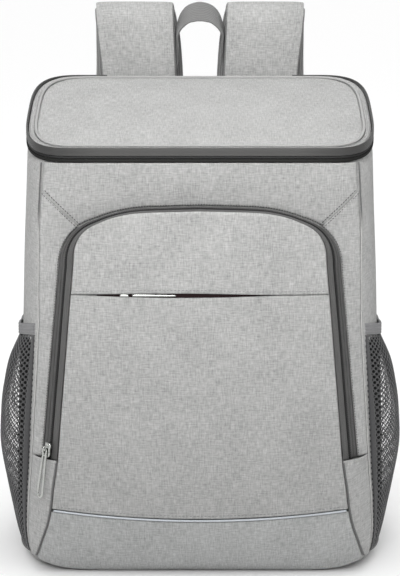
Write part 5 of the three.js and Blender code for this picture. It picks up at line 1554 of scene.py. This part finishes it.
# %% Pad's binding and the lid's hinge
rim = pad_outline(1.2)
rim_path = np.stack([rim[:, 0], np.full(len(rim), HALF_DEPTH + 3.0), rim[:, 1] + PAD_MIDDLE], -1)
rim_path = resample(np.concatenate([rim_path, rim_path[:1]]), 260)[:-1]
rim_rows = ring_sweep(rim_path, (0, 1, 0), round_section(2.0))
binding = surface("back_cushion_binding", rim_rows, wrap=True)
finish_piece(binding, piping_cloth, [])
x, t = np.meshgrid(np.linspace(-84.3, 84.3, 60), np.linspace(0, 1, 16))
hinge_y = 94.4 + 0.7 * np.sin(math.pi * t) ** 2 + 0.25 * wander(x, t * 11, 40, 2)
hinge_points = np.stack([x, hinge_y, 415.2 - 11.2 * t], -1)
hinge = surface("lid_hinge_cloth", hinge_points, hint=(0, 1, 0), thick=0.9)
finish_piece(hinge, heather_cloth, ["lid_hinge"])

# %% [markdown]
# ## Foot of the straps
# Each strap ends in a short tab of webbing round a buckle. A longer webbing comes up from the bag's
# lower corner, turns round the buckle's far bar and hangs down as a free tail to pull on.
# %% Strap foot
WEB_WIDTH, WEB_THICK = 25.0, 1.8
STRAP_END = strap_centres[-1]
ANCHOR = np.array([116.0, 97.7, 34.0])
down = (ANCHOR - STRAP_END) * [0, 1, 1]
FOOT_DOWN = down / np.linalg.norm(down)
FOOT_OUT = np.array([0, -FOOT_DOWN[2], FOOT_DOWN[1]])
LOOP = 4.23
BUCKLE_START, BUCKLE_LENGTH, BUCKLE_BAR = 12.0, 26.0, 4.0
NEAR_BAR, FAR_BAR = BUCKLE_START + BUCKLE_BAR / 2, BUCKLE_START + BUCKLE_LENGTH - BUCKLE_BAR / 2


def at_foot(along, proud):
    """Places below the strap's end: along the way down and out from it."""
    along, proud = np.broadcast_arrays(along, proud)
    return STRAP_END + along[..., None] * FOOT_DOWN + proud[..., None] * FOOT_OUT


def web(name, stations, count, turn, sides=24):
    """Webbing through stations, its width across the bag."""
    path = resample(spline(stations, 400), count)
    points = ribbon(path, np.broadcast_to([1.0, 0, 0], path.shape), WEB_WIDTH, WEB_THICK, sides)
    return surface(name, turn(points), wrap=True)


def round_bar(place, away):
    """Half a circle round the bar at a place, on the side away from where the webbing comes."""
    angle = np.linspace(-0.5, 0.5, 9) * math.pi
    return at_foot(place - away * LOOP * np.cos(angle), LOOP * np.sin(angle))


tab_route = [
    at_foot(1.5, -LOOP), at_foot(6.0, -LOOP), *round_bar(NEAR_BAR, -1),
    at_foot(6.0, LOOP), at_foot(1.5, LOOP),
]
TAIL = ((44.0, 0.0), (56.0, 0.4), (70.0, 1.4), (84.0, 1.0), (91.0, 0.2))
halfway = mix(ANCHOR, at_foot(49.0, -LOOP), 0.5) + [0, 1.2, 0]
web_route = [
    ANCHOR, mix(ANCHOR, halfway, 0.5) + [0, 0.8, 0], halfway, at_foot(49.0, -LOOP), at_foot(41.0, -LOOP),
    *round_bar(FAR_BAR, 1), *(at_foot(along, LOOP + slack) for along, slack in TAIL),
]


def buckle_frame():
    """A rounded rectangle of bars and one bar across its middle, in the buckle's own plane."""
    half, centre = 14.8, (NEAR_BAR + FAR_BAR) / 2
    outline = rounded_rectangle(half, (FAR_BAR - NEAR_BAR) / 2, 4.0, 8) + [0, centre]
    path = np.concatenate([outline, 0 * outline[:, :1]], -1)
    path = resample(np.concatenate([path, path[:1]]), 90)[:-1]
    middle = np.stack([np.linspace(-half, half, 12), np.full(12, centre), np.zeros(12)], -1)
    ring = ring_sweep(path, (0, 0, 1), soft_section(1.9, 2.0, 3.0, 20))
    return [ring, bar(middle, (0, 0, 1), soft_section(2.0, 1.8, 3.0, 20))]


# %% Tabs, buckles, webbing and anchors
for side, turn in SIDES:
    tab = web(f"strap_tab_webbing_{side}", tab_route, 60, turn)
    finish_piece(tab, webbing_cloth, [f"strap_tab_{side}"])
    long_web = web(f"adjusting_webbing_{side}", web_route, 220, turn)
    finish_piece(long_web, webbing_cloth, [f"strap_webbing_{side}"])
    plane = np.array([[1.0, 0, 0], FOOT_DOWN, np.cross([1.0, 0, 0], FOOT_DOWN)])
    bars = [
        surface(f"bar_{k}", turn(placed(grid, STRAP_END, plane)), wrap=True)
        for k, grid in enumerate(buckle_frame())
    ]
    buckle = merge(f"adjusting_buckle_{side}", bars)
    finish_piece(buckle, buckle_black, [f"strap_buckle_{side}"])
    patch_path = np.stack([np.linspace(99.75, 132.25, 30), np.full(30, 94.4), np.full(30, 34.0)], -1)
    patch = ribbon(patch_path, np.broadcast_to([0, 0, 1.0], patch_path.shape), WEB_WIDTH, WEB_THICK, 24)
    anchor = surface(f"anchor_webbing_{side}", turn(patch), wrap=True)
    finish_piece(anchor, webbing_cloth, [f"strap_anchor_{side}"])

# %% [markdown]
# ## Stitches
# A seam is believed when its thread shows. Every stitch is a small spindle of four rings, so even a
# thousand of them are light. Rows are placed where the photograph shows them: both sides of the
# diagonal seams, over the slit, round the zip, and along the straps.
# %% Stitch rows
def stitch_row(path, outward, length=2.4, gap=1.1, radius=0.32):
    """Spindles along a path: rings of six points at four places, of radius 0, full, full and 0."""
    way = way_along(path)
    count = max(int(way[-1] // (length + gap)), 1)
    centre_at = (np.arange(count) + 0.5) * way[-1] / count
    outward = np.broadcast_to(np.asarray(outward, float), path.shape)
    centre, up = read_off(path, way, centre_at), unit(read_off(outward, way, centre_at))
    run = unit(read_off(path, way, centre_at + length / 2) - read_off(path, way, centre_at - length / 2))
    across = np.cross(run, up)
    angle = np.arange(6) * math.pi / 3
    ring = np.array([0, 1, 1, 0.0])[:, None] * radius
    ahead = np.array([-0.5, -0.3, 0.3, 0.5])[:, None] * length
    local = np.stack([ahead + 0 * angle, ring * np.cos(angle), ring * np.sin(angle)], -1)
    return (
        centre[:, None, None]
        + local[None, ..., :1] * run[:, None, None]
        + local[None, ..., 1:2] * across[:, None, None]
        + local[None, ..., 2:] * up[:, None, None]
    )


def stitches(name, rows, material):
    """One object of every stitch in the rows given."""
    points = np.concatenate(rows)
    quads = grid_faces(4, 6, True)
    faces = (quads[None] + np.arange(len(points))[:, None, None] * 24).reshape(-1, 4)
    flat = points.reshape(-1, 3)
    a, b, c, d = (flat[faces[:, k]] for k in range(4))
    middle = points.mean((1, 2))[np.repeat(np.arange(len(points)), len(quads))]
    outward = ((a + b + c + d) / 4 - middle) * np.cross(c - a, d - b)
    if outward.sum() < 0:
        faces = faces[:, ::-1]
    uv = np.stack([faces % 6 * 0.4, faces // 6 % 4 * 0.8], -1)
    print(name, len(points), "stitches")
    finish_piece(piece_from(name, flat, faces, uv, weld=True), material, [])


def both_sides(rows):
    """Rows and their mirror images."""
    return rows + [mirror_points(row) for row in rows]


# %% Stitches on the front
def on_front(x, z, proud=2.1):
    """Places on the front cloth, proud of the tub's skin."""
    return np.stack([x, skin_y(x, z) - proud, z], -1)


t = np.linspace(0, 1, 40)
corner_x = float(corner_seam(DIAGONAL_HEIGHT)[0]) - 1.6
slope = unit(np.array([seam_x - corner_x, seam_z - DIAGONAL_HEIGHT]))
side_step = np.array([-slope[1], slope[0]])
diagonals = []
for shift in (-2.2, 1.6):
    x = mix(corner_x, seam_x, t) + side_step[0] * shift
    z = mix(DIAGONAL_HEIGHT, seam_z, t) + side_step[1] * shift
    diagonals.append(stitch_row(on_front(x, z, 2.35), (0, -1, 0), 2.0, 0.6, 0.4))
s = np.linspace(0, 1, 300)
arch_line = tape_edge(s) + [0, 0.2, 0]
arch_line[:, 0] += 1.3 * np.clip((s - 0.2) / 0.2, 0, 1)
arch_line[:, 2] += 1.3 * (1 - np.clip((s - 0.3) / 0.2, 0, 1))
zip_rows = [stitch_row(arch_line, (0, -1, 0), 1.5, 0.8, 0.3)]
stitches("dark_stitches", both_sides(diagonals + zip_rows), dark_thread)
u = np.linspace(-0.97, 0.97, 200)
hem_rows = [
    stitch_row(panel_point(height, u) + [0, -0.05, 0], (0, -1, 0), 2.2, 1.0, 0.3)
    for height in (top_lip(u) + 3.2, CORD_TOP + 3.0)
]
stitches("pocket_stitches", hem_rows, thread)

# %% Stitches on the straps
face_out = 4.6 + 1.5
strap_rows = []
for share in (-1, 1):
    line = strap_line + strap_up * (face_out - 0.35) + strap_across * (share * (strap_half - 6.0))[:, None]
    strap_rows.append(stitch_row(line[4:-4], strap_up[4:-4], 2.6, 1.2, 0.32))
stitches("strap_stitches", both_sides(strap_rows), thread)

# %% [markdown]
# ## Studio
# The photograph is a cut-out on white with soft light from above and in front. A pale floor, a pale
# world and two soft lights give the same: bright top, even front, dark zips.
# %% Floor, world and lights
def studio():
    """A wide pale floor at the bag's base, a white world and area lights that aim at the bag."""
    floor_mesh = bpy.data.meshes.new("floor")
    corners = [(6 * x, 6 * y, -0.0005) for x, y in ((-1, -1), (1, -1), (1, 1), (-1, 1))]
    floor_mesh.from_pydata(corners, [], [(0, 1, 2, 3)])
    floor = bpy.data.objects.new("floor", floor_mesh)
    bpy.context.scene.collection.objects.link(floor)
    material, _, shader, _ = new_material("pale floor", 0.7)
    shader.inputs["Base Color"].default_value = (0.96, 0.96, 0.96, 1)
    floor_mesh.materials.append(material)
    white_world()
    for name, place, aim, size, watts, spread in (
        ("key", (-0.12, -1.25, 0.92), (0, -0.05, 0.43), 0.6, 1.5, 40),
        ("top", (0.1, -0.5, 1.7), (0, 0, 0.4), 0.8, 1.0, 120),
    ):
        data = bpy.data.lights.new(name, "AREA")
        data.size, data.energy, data.spread = size, watts, math.radians(spread)
        light = bpy.data.objects.new(name, data)
        light.location = place
        light.rotation_euler = (Vector(aim) - Vector(place)).to_track_quat("-Z", "Y").to_euler()
        bpy.context.scene.collection.objects.link(light)


def white_world():
    """Light from all round: rise times height, plus the horizon's, which dims to both sides."""
    horizon, rise, side_dark = 0.34, 1.15, 0.75
    world = bpy.data.worlds.new("white studio")
    world.use_nodes = True
    tree = world.node_tree
    x, y, z = components(tree, tree.nodes.new("ShaderNodeTexCoord").outputs["Generated"])
    high = math_node(tree, "MAXIMUM", z, 0.0)
    sideways = math_node(tree, "MULTIPLY", x, x)
    level = math_node(tree, "MULTIPLY_ADD", sideways, -horizon * side_dark, horizon)
    seen = tree.nodes.new("ShaderNodeLightPath").outputs["Is Camera Ray"]
    strength = math_node(tree, "MAXIMUM", math_node(tree, "MULTIPLY_ADD", high, rise, level), seen)
    tree.links.new(strength, tree.nodes["Background"].inputs["Strength"])
    tree.nodes["Background"].inputs["Color"].default_value = (1, 1, 1, 1)
    bpy.context.scene.world = world


bpy.context.scene.view_settings.view_transform = "Standard"
studio()
